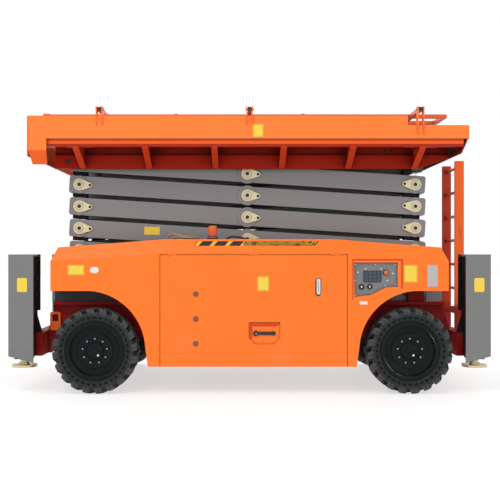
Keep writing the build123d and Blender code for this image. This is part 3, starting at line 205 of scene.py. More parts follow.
def paint(name, colour, rough=0.36, dust=0.1, shine=0.26, coat=0, edge=0.004,
          corner_shade=(0.035, 0.6), lower=None):
    """Sprayed paint: soft tone changes, orange peel, dust low down, rubbed spots, painted shade in
    corners.

    edge is the radius its edges look rounded by. The painted shade in corners is given as a pair:
    how far corners reach, and how dark they get. lower is two heights and a colour of painted
    shade, which is full below the first and gone above the second."""
    s = Shade(name)
    tone = s.mottle(colour, 0.92, 1.07, 1.3, 4, 0.55)
    # painted shade low down on the part, when lower is given
    if lower:
        tone = s.mix(s.ramp(s.z, *lower[0], 1, 0), tone, lower[1])
    low_down = s.ramp(s.z, 0.15, 1.1, 1, 0.25)
    cloud = s.ramp(s.noise(5, 6, 0.62), 0.46, 0.72)
    tone = s.wash(tone, s.times(low_down, cloud), dust, ROAD_DUST)
    rubs = s.ramp(s.noise(26, 5, 0.65, (1, 1, 0.35)), 0.66, 0.74)
    tone = s.wash(tone, rubs, 0.12, tinted(colour, 0.7))
    # painted shade: darker in corners and under overhangs
    tone = s.wash(tone, s.shade_mask(corner_shade[0]), corner_shade[1], tinted(colour, 0.22))
    peel = s.grain(260, 0.05, 0.0006, 2, after=s.soft(edge))
    waves = s.grain(2.2, 0.06, 0.004, 2, after=peel)
    return s.done(tone, s.gloss(rough - 0.05, rough + 0.07, 9, 4, 0.6), waves,
                  shine=shine, Coat_Weight=coat, Coat_Roughness=0.12)


def arm_paint():
    """Grey arm paint, with zinc-plated keepers outside the bars, grease round the shafts, and
    painted shade on the inner arms and in the gaps and corners.
    """
    s = Shade("arm_grey_paint")
    tone = s.mottle(ARM_GREY, 0.92, 1.08, 1.1, 4, 0.55)
    streaks = s.ramp(s.noise(7, 5, 0.65, (0.25, 1, 2.5)), 0.52, 0.75)
    tone = s.wash(tone, streaks, 0.12, (0.3, 0.29, 0.27))
    out = s.size_of(s.y)
    # painted shade: the inner arms darker
    tone = s.wash(tone, s.below(out, INNER_ARM_Y), 0.75, (0.05, 0.052, 0.055))
    steel = s.mix(s.noise(30), (0.15, 0.16, 0.17), (0.23, 0.24, 0.26))
    tone = s.wash(tone, s.below(out, SHAFT_Y), 0.55, steel)
    # painted shade: corners and the gaps between the bars near black
    tone = s.wash(tone, s.shade_mask(0.1, 0.25, 0.8), 0.9, (0.01, 0.01, 0.011))
    zinc = s.mix(s.noise(22, 4, 0.6), (0.58, 0.49, 0.28), (0.8, 0.73, 0.5))
    head = s.mix(s.noise(60, 2), (0.5, 0.44, 0.3), (0.8, 0.74, 0.56))
    keeper = s.above(out, KEEPER_PAINT_Y)
    tone = s.mix(keeper, tone, s.mix(s.above(out, KEEPER_HEAD_Y), zinc, head))
    skin = s.grain(240, 0.06, 0.0006, 2, after=s.soft(0.006))
    return s.done(tone, s.gloss(0.36, 0.5, 12, 4, 0.6), skin, s.times(keeper, 0.6),
                  Coat_Weight=0.04, Coat_Roughness=0.2, shine=0.4)


def ladder_paint():
    """The ladder's orange paint, with painted shade on its far rail and in its corners, and dark
    red at its foot.
    """
    s = Shade("ladder_orange_paint")
    tone = s.mix(s.noise(3, 4, 0.55), (0.84, 0.112, 0.01), (0.93, 0.14, 0.015))
    # painted shade: the far rail darker
    tone = s.mix(s.ramp(s.y, -0.05, 0.05), tone, (0.48, 0.036, 0.008))
    tone = s.mix(s.ramp(s.z, 0.79, 0.85, 1, 0), tone, (0.3, 0.013, 0.006))
    rubs = s.ramp(s.noise(30, 5, 0.65, (1, 1, 0.2)), 0.56, 0.7)
    tone = s.wash(tone, rubs, 0.35, (0.3, 0.035, 0.01))
    # painted shade in corners
    tone = s.wash(tone, s.shade_mask(0.05), 0.7, (0.1, 0.01, 0.006))
    skin = s.grain(200, 0.06, 0.0006, after=s.soft(0.006))
    return s.done(tone, s.gloss(0.34, 0.5, 20), skin, shine=0.22)


def shroud_paint():
    """Grey outside, and black on the walls that close a shroud towards the machine."""
    s = Shade("shroud_grey_paint")
    tone = s.mix(s.noise(1.3, 4, 0.55), (0.17, 0.169, 0.168), (0.192, 0.19, 0.189))
    dust = s.ramp(s.noise(5, 6, 0.62), 0.46, 0.72)
    tone = s.wash(tone, dust, 0.05, (0.3, 0.27, 0.22))
    within = s.times(s.below(s.size_of(s.x), SHROUD_INNER_X),
                     s.below(s.size_of(s.y), SHROUD_INNER_Y))
    black = s.mix(s.noise(9), (0.006, 0.005, 0.006), (0.012, 0.009, 0.01))
    skin = s.grain(240, 0.05, 0.0006, 2, after=s.soft(0.004))
    return s.done(s.mix(within, tone, black), s.gloss(0.34, 0.46, 9, 4, 0.6), skin, shine=0.2)


def frame_paint(name, colour):
    """Dark chassis paint with road dust, splashed mud low down and painted shade in recesses."""
    s = Shade(name)
    dirt = s.ramp(s.noise(6, 7, 0.66), 0.44, 0.7)
    low_down = s.ramp(s.z, 0.25, 1, 0.42, 0.1)
    tone = s.wash(s.mottle(colour, 0.8, 1.15, 2.2, 5, 0.6), dirt, low_down, (0.15, 0.115, 0.09))
    # painted shade in recesses
    tone = s.wash(tone, s.shade_mask(0.12), 0.75, tinted(colour, 0.15))
    skin = s.grain(90, 0.1, 0.001, 4, 0.6, after=s.soft(0.004))
    return s.done(tone, s.ramp(dirt, 0, 1, 0.4, 0.66), skin, shine=0.1)


def rubber(name, colour, dust_and_highlight=(0.075, 0.078, 0.078)):
    """Rubber: lighter edges that are painted highlight and grey scuffs, patches of dust, painted
    shade in its hollows and fine moulded grain.
    """
    s = Shade(name)
    dust = s.ramp(s.noise(14, 6, 0.7), 0.48, 0.72)
    tone = s.wash(s.mottle(colour, 0.7, 1.35, 6, 5, 0.6), dust, 0.15, dust_and_highlight)
    # the edges lighter: painted highlight and scuffs
    edges = s.ramp(s.add("NewGeometry").outputs["Pointiness"], 0.51, 0.58)
    tone = s.wash(tone, edges, 0.55, dust_and_highlight)
    # painted shade in the hollows
    tone = s.wash(tone, s.shade_mask(0.03, 0.3, 0.85), 0.92, tinted(colour, 0.12))
    skin = s.grain(120, 0.18, 0.0012, 4, 0.65, after=s.soft(0.004))
    skin = s.bump(s.cells(70), 0.06, 0.001, skin)
    return s.done(tone, s.gloss(0.5, 0.74, 30, 4, 0.6), skin, shine=0.13)


def metal(name, colour, rough, stretch=(1, 1, 1), dirt=0.2):
    """Bare or plated metal with brushed grain and handling marks."""
    s = Shade(name)
    marks = s.ramp(s.noise(40, 5, 0.65), 0.52, 0.74)
    tone = s.wash(s.mottle(colour, 0.85, 1.08, 18, 4, 0.6), marks, dirt, tinted(colour, 0.35))
    return s.done(tone, s.gloss(rough - 0.06, rough + 0.12, 60, 3, 0.6, stretch),
                  s.grain(180, 0.06, 0.0005, 3, 0.6, stretch), 1)


def rim_edge_highlight():
    """Glossy dark paint with painted highlights: bright patches along part of a rim's edges."""
    s = Shade("rim_edge_painted_highlight")
    # painted highlight: bright patches along the edge
    highlit = s.ramp(s.noise(3.2, 2), 0.54, 0.66)
    fine = s.ramp(s.noise(30), 0.35, 0.6)
    tone = s.wash((0.008, 0.014, 0.014), highlit, fine, (0.42, 0.47, 0.47))
    return s.done(tone, s.gloss(0.18, 0.3, 22), s.grain(120, 0.05, 0.0004), shine=0.35)


def plastic(name, colour, rough=0.42):
    """Moulded plastic with a fine grain and slight wear."""
    s = Shade(name)
    return s.done(s.mottle(colour, 0.92, 1.08, 20),
                  s.gloss(rough - 0.05, rough + 0.08, 35, 4, 0.6),
                  s.grain(300, 0.1, 0.0004, 2))


def label(name, colour, mark, strength):
    """Blank printed vinyl with faint marks in a second colour."""
    s = Shade(name)
    marks = s.ramp(s.noise(90, 4, 0.6), 0.55, 0.7)
    tone = s.wash(s.mottle(colour, 0.94, 1.04, 45, 3, 0.6), marks, strength, mark)
    return s.done(tone, s.gloss(0.3, 0.42, 25), s.grain(150, 0.04, 0.0003, 2),
                  Coat_Weight=0.2, Coat_Roughness=0.15)


def tread_plate():
    """Painted deck plate with raised crossed bars, rubbed bare in the worn places."""
    colour, per_metre = (0.15, 0.155, 0.165), 38
    bar = (0.13, 0.44)  # half its width and half its length, in cells
    s = Shade("deck_tread_plate")
    heights = []
    for turn in (1, -1):
        x, y = s.times(s.x, per_metre), s.times(s.y, per_metre * turn)
        lean, across = s.math("ADD", x, y), s.math("SUBTRACT", x, y)
        cell = s.math("ADD", s.math("FLOOR", lean), s.math("FLOOR", across))
        odd = s.above(s.math("MODULO", s.math("ADD", cell, 4000), 2), 0.5)
        mine = odd if turn > 0 else s.math("SUBTRACT", 1, odd)
        parts = []
        for run, half in zip((lean, across), bar):
            from_middle = s.size_of(s.math("SUBTRACT", s.math("FRACT", run), 0.5))
            parts.append(s.math("POWER", s.math("DIVIDE", from_middle, half), 2))
        heights.append(s.times(s.ramp(s.math("ADD", *parts), 1.1, 0.7), mine))
    raised = s.math("MAXIMUM", *heights)
    worn = s.ramp(s.noise(2.5, 5, 0.6), 0.45, 0.65)
    tone = s.mottle(colour, 0.82, 1.1, 9, 5, 0.6)
    tone = s.wash(tone, raised, s.times(worn, 0.6), (0.42, 0.42, 0.41))
    return s.done(tone, s.ramp(raised, 0, 1, 0.55, 0.36), s.bump(raised, 0.6, 0.002), 0.25)


def hazard():
    """Broad yellow slashes on black as far as a place along X, and fine yellow marks after it."""
    lean, change_x = -0.9, -0.06
    slashes = ((0.15, 0.27), (0.028, 0.42))  # broad and fine: pitch, and yellow's share of it
    s = Shade("hazard_band")
    run = s.math("ADD", s.math("ADD", s.x, s.times(s.z, lean)), 50)
    broad, fine = (s.below(s.math("FRACT", s.math("DIVIDE", run, pitch)), share)
                   for pitch, share in slashes)
    fine = s.times(fine, s.ramp(s.noise(42, 2), 0.36, 0.46))
    after = s.above(s.x, change_x)
    yellow = s.math("ADD", s.times(broad, s.math("SUBTRACT", 1, after)), s.times(fine, after))
    tone = s.mix(yellow, (0.022, 0.012, 0.009), (0.72, 0.4, 0.035))
    tone = s.wash(tone, s.ramp(s.noise(60, 4), 0.5, 0.7), 0.12, (0.3, 0.22, 0.12))
    return s.done(tone, s.gloss(0.36, 0.48, 20), s.grain(140, 0.04, 0.0003), shine=0.2)


def amber_glass():
    """A beacon's amber lens: thick coloured plastic with upright ribs."""
    s = Shade("amber_lens")
    x, y = s.math("SUBTRACT", s.x, BEACON_AT[0]), s.math("SUBTRACT", s.y, BEACON_AT[1])
    angle = s.math("ARCTAN2", y, x)
    ribs = s.math("SINE", s.times(angle, 28))
    tone = s.mix(s.ramp(s.z, 1.54, 1.66), (0.62, 0.05, 0.002), (0.8, 0.12, 0.004))
    return s.done(tone, s.gloss(0.1, 0.2, 60), s.bump(ribs, 0.35, 0.002),
                  Transmission_Weight=0.15, IOR=1.49, Coat_Weight=0.2, Coat_Roughness=0.05)


def key_caps():
    """The control keys' blue-black caps."""
    s = Shade("key_cap_blue_black")
    tone = s.mix(s.noise(80), (0.022, 0.04, 0.058), (0.05, 0.08, 0.105))
    return s.done(tone, s.gloss(0.18, 0.3, 40), s.grain(200, 0.04, 0.0003))


def foot_finish():
    """Black inner leg and stem, and a yellow zinc-plated pad below a height."""
    s = Shade("outrigger_foot_finish")
    black = s.mix(s.noise(6, 4), (0.018, 0.017, 0.018), (0.04, 0.038, 0.038))
    zinc = s.mix(s.noise(20, 5, 0.6), (0.52, 0.43, 0.24), (0.74, 0.66, 0.43))
    pad = s.below(s.z, FOOT_PAD_Z)
    return s.done(s.mix(pad, black, zinc), s.gloss(0.3, 0.46, 30, 4),
                  s.grain(150, 0.06, 0.0005), s.times(pad, 0.8))


M = {
    "cover": paint("cover_orange_paint", ORANGE, shine=0.14),
    # painted shade on the fascia's lower edge
    "fascia": paint("fascia_orange_paint", (0.92, 0.19, 0.034), dust=0.05, shine=0.16,
                    lower=(FASCIA_EDGE_Z, (0.74, 0.1, 0.014))),
    # painted shade below the tail's skirt
    "tail": paint("tail_orange_paint", (0.9, 0.17, 0.026), dust=0.05, coat=0.06,
                  lower=(TAIL_SKIRT_Z, (0.2, 0.016, 0.006))),
    # painted shade on the edge tubes' lower half, and strong painted shade in the corner under the
    # fascia's edge
    "edge_tube": paint("edge_tube_orange_paint", (0.88, 0.125, 0.018), 0.34, 0.04, 0.12,
                       corner_shade=(0.05, 0.95), lower=(EDGE_TUBE_Z, (0.34, 0.02, 0.004))),
    # painted shade: the frame under the deck and its gussets are orange paint, coloured dark red
    # for the shade under the platform
    "under": paint("platform_under_painted_shade", (0.335, 0.014, 0.004), 0.44, 0.05, 0.07,
                   corner_shade=(0.16, 0.85)),
    "gusset": paint("gusset_orange_painted_shade", (0.52, 0.04, 0.006), 0.42, 0.05, 0.1, corner_shade=(0.06, 0.6)),
    "rails": paint("rail_orange_paint", (0.82, 0.115, 0.012), dust=0.04, coat=0.06),
    "deck": tread_plate(),
    "arms": arm_paint(),
    "barrel": paint("cylinder_black_paint", (0.022, 0.022, 0.024), dust=0.08, coat=0.1),
    "chrome": metal("hard_chrome_rod", (0.72, 0.73, 0.75), 0.14, (1, 8, 8), 0.05),
    "chassis": frame_paint("chassis_dark_red", (0.33, 0.007, 0.0048)),
    "engine": frame_paint("engine_dark_iron", (0.055, 0.055, 0.06)),
    "channel": paint("channel_grey_paint", (0.048, 0.048, 0.054), 0.42, 0.08, 0.15),
    "loop": paint("loop_orange_paint", (0.95, 0.145, 0.012), 0.34, 0, corner_shade=(0.01, 0.2)),
    "ladder": ladder_paint(),
    "shroud": shroud_paint(),
    "leg": paint("leg_black_paint", (0.01, 0.009, 0.01), 0.4, 0.05, 0.16),
    "foot": foot_finish(),
    "rim": paint("rim_dark_green_paint", (0.0045, 0.0092, 0.0092), 0.2, 0.02, 0.1, edge=0.002),
    "rim_edge": rim_edge_highlight(),
    "tyre": rubber("tyre_rubber", (0.018, 0.0195, 0.0198), (0.115, 0.12, 0.12)),
    # near black: painted shade deep in the vent holes
    "hole": rubber("tyre_hole_dark", (0.0012, 0.0012, 0.0012), (0.002, 0.002, 0.002)),
    # black rubber, made near black as painted shade of the gaps between the folded arms
    "pad": rubber("pad_black_rubber", (0.003, 0.003, 0.0033), (0.006, 0.006, 0.006)),
    "hose": rubber("black_hose_rubber", (0.02, 0.02, 0.021)),
    "tan": rubber("tan_hose_cover", (0.5, 0.4, 0.21)),
    "plate": paint("control_plate_grey", (0.175, 0.178, 0.182), 0.46, 0.03),
    # painted shade: darker orange for the window's edges and the latch recess's walls
    "edge_dark": paint("window_edge_painted_shade", (0.62, 0.055, 0.01), shine=0.15, coat=0.06),
    "screen": key_caps(),
    "stop_red": plastic("stop_button_red", (0.62, 0.13, 0.025), 0.28),
    "black": plastic("black_moulded_plastic", (0.018, 0.018, 0.019)),
    "bolt": plastic("dark_bolt_heads", (0.07, 0.04, 0.044), 0.5),
    "bolt_core": plastic("bolt_sockets", (0.15, 0.095, 0.1), 0.45),
    "stud": metal("grey_wheel_studs", (0.42, 0.44, 0.44), 0.4),
    "silver": metal("bright_plated_steel", (0.72, 0.72, 0.71), 0.24, dirt=0.1),
    "steel": metal("plain_steel", (0.46, 0.46, 0.46), 0.34),
    "amber": amber_glass(),
    "hazard": hazard(),
    "yellow": label("yellow_blank_label", (0.8, 0.56, 0.035), (0.35, 0.2, 0.02), 0.16),
    "white": label("white_blank_label", (0.7, 0.68, 0.66), (0.45, 0.45, 0.45), 0.1),
    "grey_label": label("grey_blank_label", (0.42, 0.4, 0.41), (0.25, 0.25, 0.26), 0.14),
    "ink": plastic("label_border_ink", (0.035, 0.03, 0.026), 0.4),
}

NODE_LOOKS = {  # each look, and how the names of the nodes that wear it start
    "chassis": "chassis_frame axle_ knuckle_", "channel": "base_channels",
    "loop": "tie_down_loops", "engine": "engine_block", "cover": "side_cover_ side_door_",
    "plate": "control_panel", "amber": "beacon", "leg": "outrigger_legs",
    "shroud": "outrigger_shrouds", "foot": "foot_", "ladder": "ladder", "tyre": "tyre_",
    "rim": "rim_", "arms": "outer_arm_ inner_arm_",
    "barrel": "lower_cylinder_barrels upper_cylinder_barrels",
    "chrome": "lower_cylinder_rods upper_cylinder_rods",
    "under": "platform_channels platform_joists", "edge_tube": "platform_edge_tubes",
    "gusset": "platform_gussets", "deck": "platform_floor", "tail": "platform_tail",
    "fascia": "platform_fascia extension_deck", "rails": "side_rail_ front_rail rear_rail",
}
for node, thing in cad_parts.items():
    look = next(look for look, starts in NODE_LOOKS.items()
                if node.startswith(tuple(starts.split())))
    thing.data.materials.clear()
    thing.data.materials.append(M[look])


# ---- Mesh helpers ----
def circle(n, count):
    """The angle of one of a number of equal steps round a circle."""
    return 2 * math.pi * n / count


def placed(name, data):
    """A new object in the scene."""
    obj = bpy.data.objects.new(name, data)
    bpy.context.scene.collection.objects.link(obj)
    return obj


def mesh_of(name, bm):
    """A mesh from a bmesh, with its faces looking outwards."""
    mesh = bpy.data.meshes.new(name)
    bmesh.ops.recalc_face_normals(bm, faces=bm.faces)
    bm.to_mesh(mesh)
    bm.free()
    return mesh


def piece(name, bm, look, body, **finish):
    """A finished object from a bmesh. Several looks are the materials 0, 1 and so on."""
    dress(name, mesh_of(name, bm), look, body, **finish)


def dress(name, mesh, look, body, smooth=True, bevel=0, segments=2, slot=None):
    """An object from a mesh, with its materials and rounded edges, riding on a body."""
    obj = placed(name, mesh)
    for one in look if isinstance(look, list) else [look]:
        mesh.materials.append(M[one])
    for polygon in mesh.polygons:
        polygon.use_smooth = smooth
    if bevel:
        mod = obj.modifiers.new("edge", "BEVEL")
        mod.width = bevel
        mod.segments = segments
        mod.limit_method = "ANGLE"
        mod.angle_limit = math.radians(35)
        mod.harden_normals = smooth
    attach(obj, body)
    return obj


def add_box(bm, low, high):
    """A box from its two corners."""
    size = [b - a for a, b in zip(low, high)]
    middle = [(a + b) / 2 for a, b in zip(low, high)]
    matrix = Matrix.Translation(middle) @ Matrix.Diagonal((*size, 1))
    bmesh.ops.create_cube(bm, size=1, matrix=matrix)


def add_side_box(bm, sign, x, y, z):
    """A box from its ranges on one side of the machine, with y counted outwards."""
    low_x, high_x = sorted(x)
    low_y, high_y = sorted((sign * y[0], sign * y[1]))
    add_box(bm, (low_x, low_y, z[0]), (high_x, high_y, z[1]))


def bridge(bm, outlines, mat=0, closed=False):
    """Faces from each outline of places to the next, and from the last to the first if closed."""
    rings = [[bm.verts.new(place) for place in outline] for outline in outlines]
    for a, b in zip(rings, rings[1:] + rings[:closed]):
        for n in range(len(a)):
            m = (n + 1) % len(a)
            bm.faces.new((a[n], a[m], b[m], b[n])).material_index = mat
    return rings


def add_slab(bm, outlines, mat=0):
    """A thin plate between two outlines."""
    for ring in reversed(bridge(bm, outlines, mat)):
        bm.faces.new(ring).material_index = mat


def add_turned(bm, profile, at, axis, steps=32, mat=0, closed=False):
    """A (radius, height) profile turned about an axis, capped, or closed into a solid ring."""
    turn = Vector((0, 0, 1)).rotation_difference(Vector(axis)).to_matrix().to_4x4()
    matrix = Matrix.Translation(at) @ turn
    angles = [circle(n, steps) for n in range(steps)]
    rings = bridge(bm, [[matrix @ Vector((radius * math.cos(a), radius * math.sin(a), height))
                         for a in angles] for radius, height in profile], mat, closed)
    if closed:
        return
    for radius, ring in ((profile[0][0], rings[0][::-1]), (profile[-1][0], rings[-1])):
        if radius > 0:
            bm.faces.new(ring).material_index = mat


def add_nut(bm, at, axis, size, height):
    """A hexagon nut or bolt head with a washer under it."""
    washer = height * 0.16
    add_turned(bm, [(size * 0.72, 0), (size * 0.72, washer)], at, axis, 20)
    add_turned(bm, [(size * 0.56, washer), (size * 0.56, height * 0.86), (size * 0.46, height)],
               at, axis, 6)


def add_dome(bm, at, axis, radius, height, mat=0):
    """A low rounded head."""
    angles = [n / 6 * math.pi / 2 for n in range(6)]
    profile = [(radius * math.cos(a), height * math.sin(a)) for a in angles]
    add_turned(bm, profile + [(radius * 0.08, height)], at, axis, 20, mat)


def bead(radius, height, thick):
    """The eight-sided section of a bead of weld or a wire, for a ring."""
    return [(radius + thick * math.cos(circle(k, 8)), height + thick * math.sin(circle(k, 8)))
            for k in range(8)]


def tube(name, points, radius, look, body):
    """A hose along a smooth line, fixed at both ends."""
    curve = bpy.data.curves.new(name, "CURVE")
    curve.dimensions = "3D"
    curve.bevel_depth = radius
    curve.bevel_resolution = 3
    curve.resolution_u = 10
    spline = curve.splines.new("NURBS")
    spline.points.add(len(points) - 1)
    for point, place in zip(spline.points, points):
        point.co = (*place, 1)
    spline.order_u = 3
    spline.use_endpoint_u = True
    curve.use_fill_caps = True
    curve.materials.append(M[look])
    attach(placed(name, curve), body)


# ---- Wheels ----
TYRE_R, TYRE_HALF, TYRE_STEPS = 0.42, 0.15, 144
LUGS, LUG_SHARE, LUG_LEAN, LUG_ROOT_R = 20, 0.545, math.radians(24), 0.356
LUG_MIDDLE_Y, LUG_WIDTH = 0.086, (0.94, 0.1)  # its width in the tread's middle, and gain outwards
HOLES, HOLE_RING, HOLE_R, HOLE_Y = 36, 0.33, 0.0112, 0.1412
DISC_Y, COLLAR_Y, CAP_Y, LIP_Y = -0.076, -0.094, -0.12, -0.118  # a rim's outer faces
NUTS, NUT_RING, CAP_BOLTS, CAP_RING = 9, 0.1205, 6, 0.058
RIM_LOOKS = ["rim", "stud", "rim_edge", "silver"]

# One half of a tyre's section from bead to tread, as (radius, y), and the section of a lug from
# the middle of the tread to its root on the sidewall.
TYRE_HALF_SECTION = [
    (0.27, 0.114), (0.276, 0.122), (0.2905, 0.1235), (0.296, 0.13), (0.303, 0.1345),
    (0.311, 0.1375), (0.3185, 0.14), (0.34, 0.1432), (0.346, 0.149), (0.352, 0.1496),
    (0.358, 0.145), (0.37, 0.144), (0.3785, 0.137), (0.38, 0.12)]
LUG_SECTION = [
    (0.377, 0.017), (0.4185, 0.019), (0.42, 0.024), (0.42, 0.08), (0.4196, 0.116),
    (0.413, 0.131), (0.396, 0.1492), (0.388, 0.1499), (0.362, 0.1499), (0.356, 0.144)]
# Across a lug: the share of its width, and how far its face has dropped there.
LUG_ROUNDING = [(-0.5, 0.01), (-0.47, 0.002), (-0.42, 0), (0, 0), (0.42, 0),
                (0.47, 0.002), (0.5, 0.01)]
CENTRE_RIB = [(0.377, 0.021), (0.417, 0.0205), (0.4198, 0.018), (0.4198, -0.018),
              (0.417, -0.0205), (0.377, -0.021)]


def wheel_point(radius, angle, y):
    """A place on a wheel about Y, with the angle counted from its top."""
    return radius * math.sin(angle), y, radius * math.cos(angle)


def tyre_mesh():
    """A solid tyre about Y with rounded slanting lugs, a centre rib and beads."""
    bm = bmesh.new()
    section = [(r, -y) for r, y in TYRE_HALF_SECTION] + TYRE_HALF_SECTION[::-1]
    bridge(bm, [[wheel_point(r, circle(n, TYRE_STEPS), y) for n in range(TYRE_STEPS)]
                for r, y in section], closed=True)
    pitch = circle(1, LUGS)
    lean = math.tan(LUG_LEAN) / TYRE_R
    for side in (1, -1):
        for number in range(LUGS):
            middle = (number + (side > 0) / 2) * pitch + pitch / 2
            grid = []
            for share, drop in LUG_ROUNDING:
                row = []
                for r, y in LUG_SECTION:
                    wide = pitch * LUG_SHARE * (LUG_WIDTH[0] + LUG_WIDTH[1] * y / TYRE_HALF)
                    angle = middle + share * wide + lean * (y - LUG_MIDDLE_Y)
                    deep = max(LUG_ROOT_R, r - drop) if r > 0.36 else r
                    out = y - drop * 0.6 * (y > 0.14)
                    row.append(bm.verts.new(wheel_point(deep, angle, side * out)))
                grid.append(row)
            for a, b in zip(grid, grid[1:]):
                for n in range(len(LUG_SECTION) - 1):
                    bm.faces.new((a[n], a[n + 1], b[n + 1], b[n]))
            for row in (grid[0], grid[-1]):
                bm.faces.new(row)
    add_turned(bm, CENTRE_RIB, (0, 0, 0), (0, 1, 0), 96)
    return mesh_of("tyre_body", bm)


def hole_mesh():
    """The vent holes' cups in both sidewalls, near black as painted shade of the holes' depth, each
    with a moulded collar.
    """
    cup = [(HOLE_R * 1.2, -0.004), (HOLE_R * 1.2, 0.0012), (HOLE_R, 0.003),
           (HOLE_R * 0.96, 0.0012), (0, 0.001)]
    bm = bmesh.new()
    for side in (1, -1):
        for n in range(HOLES):
            at = wheel_point(HOLE_RING, circle(n, HOLES), side * HOLE_Y)
            add_turned(bm, cup, at, (0, side, 0), 14)
    return mesh_of("tyre_holes", bm)


def rim_mesh():
    """A rim's nuts and studs, cap, valve, weld beads and lip rings that carry the painted
    highlight, about Y and facing -Y.
    """
    bm = bmesh.new()
    out = (0, -1, 0)
    for n in range(NUTS):
        at = wheel_point(NUT_RING, circle(n, NUTS), COLLAR_Y)
        add_nut(bm, at, out, 0.024, 0.014)
        add_turned(bm, [(0.0088, 0), (0.0088, 0.023), (0.006, 0.026)], at, out, 12, 1)
    for n in range(CAP_BOLTS):
        add_nut(bm, wheel_point(CAP_RING, circle(n + 0.5, CAP_BOLTS), CAP_Y), out, 0.014, 0.008)
    add_turned(bm, [(0.03, 0), (0.03, 0.006), (0.024, 0.009), (0, 0.009)], (0, CAP_Y, 0), out)
    add_turned(bm, [(0.013, -0.001), (0.013, 0.006), (0.0095, 0.01), (0, 0.011)],
               (0.033, CAP_Y, -0.042), out, 18, 3)
    for radius, y, thick in ((0.2555, DISC_Y - 0.001, 0.006), (0.1725, DISC_Y - 0.0005, 0.005)):
        add_turned(bm, bead(radius, 0, thick), (0, y, 0), out, 72, closed=True)
    # the lip's rings, with the painted highlight
    for radius, depth in ((0.256, 0.006), (0.263, 0.008)):
        add_turned(bm, bead(radius, depth, 0.0035), (0, LIP_Y, 0), out, 96, 2, closed=True)
    return mesh_of("rim_trim", bm)


def wheels():
    shared_tyre, shared_holes, shared_rim = tyre_mesh(), hole_mesh(), rim_mesh()
    for end in ENDS:
        for side in SIDES:
            low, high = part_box(f"tyre_{end}_{side}")
            middle = [(a + b) / 2 for a, b in zip(low, high)]
            turn = Matrix.Rotation(0 if side == "near" else math.pi, 4, "Z")
            made = []
            for name, mesh, looks, slot in (
                    (f"tyre_tread_{end}_{side}", shared_tyre, "tyre", "tyre"),
                    (f"tyre_vents_{end}_{side}", shared_holes, "hole", "tyre"),
                    (f"wheel_nuts_{end}_{side}", shared_rim, RIM_LOOKS, "rim_dark")):
                copy = mesh.copy()
                copy.transform(Matrix.Translation(middle) @ turn)
                made.append(dress(name, copy, looks, f"wheel_{end}_{side}", slot=slot))
            for obj in (made[0], made[2]):
                obj.data.set_sharp_from_angle(angle=math.radians(38))
            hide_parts(f"tyre_{end}_{side}")


# ---- Labels and the ground controls ----
def add_plate(bm, side, x, z, thick, corner, mat=0, y=SKIN_Y):
    """A thin plate with rounded corners on an upright face that looks along Y."""
    outline = []
    for cx, cz, start in ((x[1] - corner, z[1] - corner, 0), (x[0] + corner, z[1] - corner, 90),
                          (x[0] + corner, z[0] + corner, 180), (x[1] - corner, z[0] + corner, 270)):
        for k in range(5):
            a = math.radians(start + k * 22.5)
            outline.append((cx + corner * math.cos(a), cz + corner * math.sin(a)))
    add_slab(bm, [[(px, SIDES[side] * py, pz) for px, pz in outline]
                  for py in (y - 0.0004, y + thick)], mat)


FRONT_LABEL = ((-1.78, -1.62), (1.165, 1.262), 0.008)
DOOR_LABEL = ((0.077, 0.19), (1.01, 1.15), 0.01)
LABELS = [  # name, side, look, x, z, corner, body, how far out its face lies
    ("door_warning", "near", "yellow", *DOOR_LABEL, "door_near", SKIN_Y),
    ("front_yellow", "near", "yellow", *FRONT_LABEL, "chassis", SKIN_Y),
    ("front_white", "near", "white", (-1.564, -1.476), (1.184, 1.243), 0.029, "chassis", SKIN_Y),
    ("rear_yellow", "near", "yellow", (1.511, 1.642), (1.094, 1.262), 0.008, "chassis", SKIN_Y),
    ("rear_grey", "near", "grey_label", (1.741, 1.841), (1.05, 1.262), 0.006, "chassis", SKIN_Y),
    ("under_controls", "near", "white", (1.078, 1.154), (0.876, 0.906), 0.004, "chassis", SKIN_Y),
    ("far_door", "far", "yellow", *DOOR_LABEL, "door_far", SKIN_Y),
    ("far_front", "far", "yellow", *FRONT_LABEL, "chassis", SKIN_Y),
    ("fascia_near", "near", "yellow", (0.033, 0.133), (2.515, 2.64), 0.006, "platform", FASCIA_Y),
]
LABEL_THICK, BORDER_THICK, BORDER_INSET, BORDER_WIDE = 0.0007, 0.0009, 0.006, 0.0022


def labels():
    """Blank labels, with a printed border on the yellow ones, and those on the shrouds."""
    for name, side, look, x, z, corner, body, y in LABELS:
        bm = bmesh.new()
        add_plate(bm, side, x, z, LABEL_THICK, corner, 0, y)
        if look == "yellow":
            left, right = x[0] + BORDER_INSET, x[1] - BORDER_INSET
            bottom, top = z[0] + BORDER_INSET, z[1] - BORDER_INSET
            for bar_x, bar_z in (((left, right), (top - BORDER_WIDE, top)),
                                 ((left, right), (bottom, bottom + BORDER_WIDE)),
                                 ((left, left + BORDER_WIDE), (bottom, top)),
                                 ((right - BORDER_WIDE, right), (bottom, top))):
                add_plate(bm, side, bar_x, bar_z, BORDER_THICK, 0.0008, 1, y)
        piece(f"label_{name}", bm, [look, "ink"], body, smooth=False)
    bm = bmesh.new()
    for x in ((-2.279, -2.181), (2.203, 2.301)):
        for side in SIDES:
            add_plate(bm, side, x, (0.998, 1.135), LABEL_THICK, 0.013, 0, SHROUD_Y)
    piece("label_shrouds", bm, "yellow", "chassis", smooth=False)


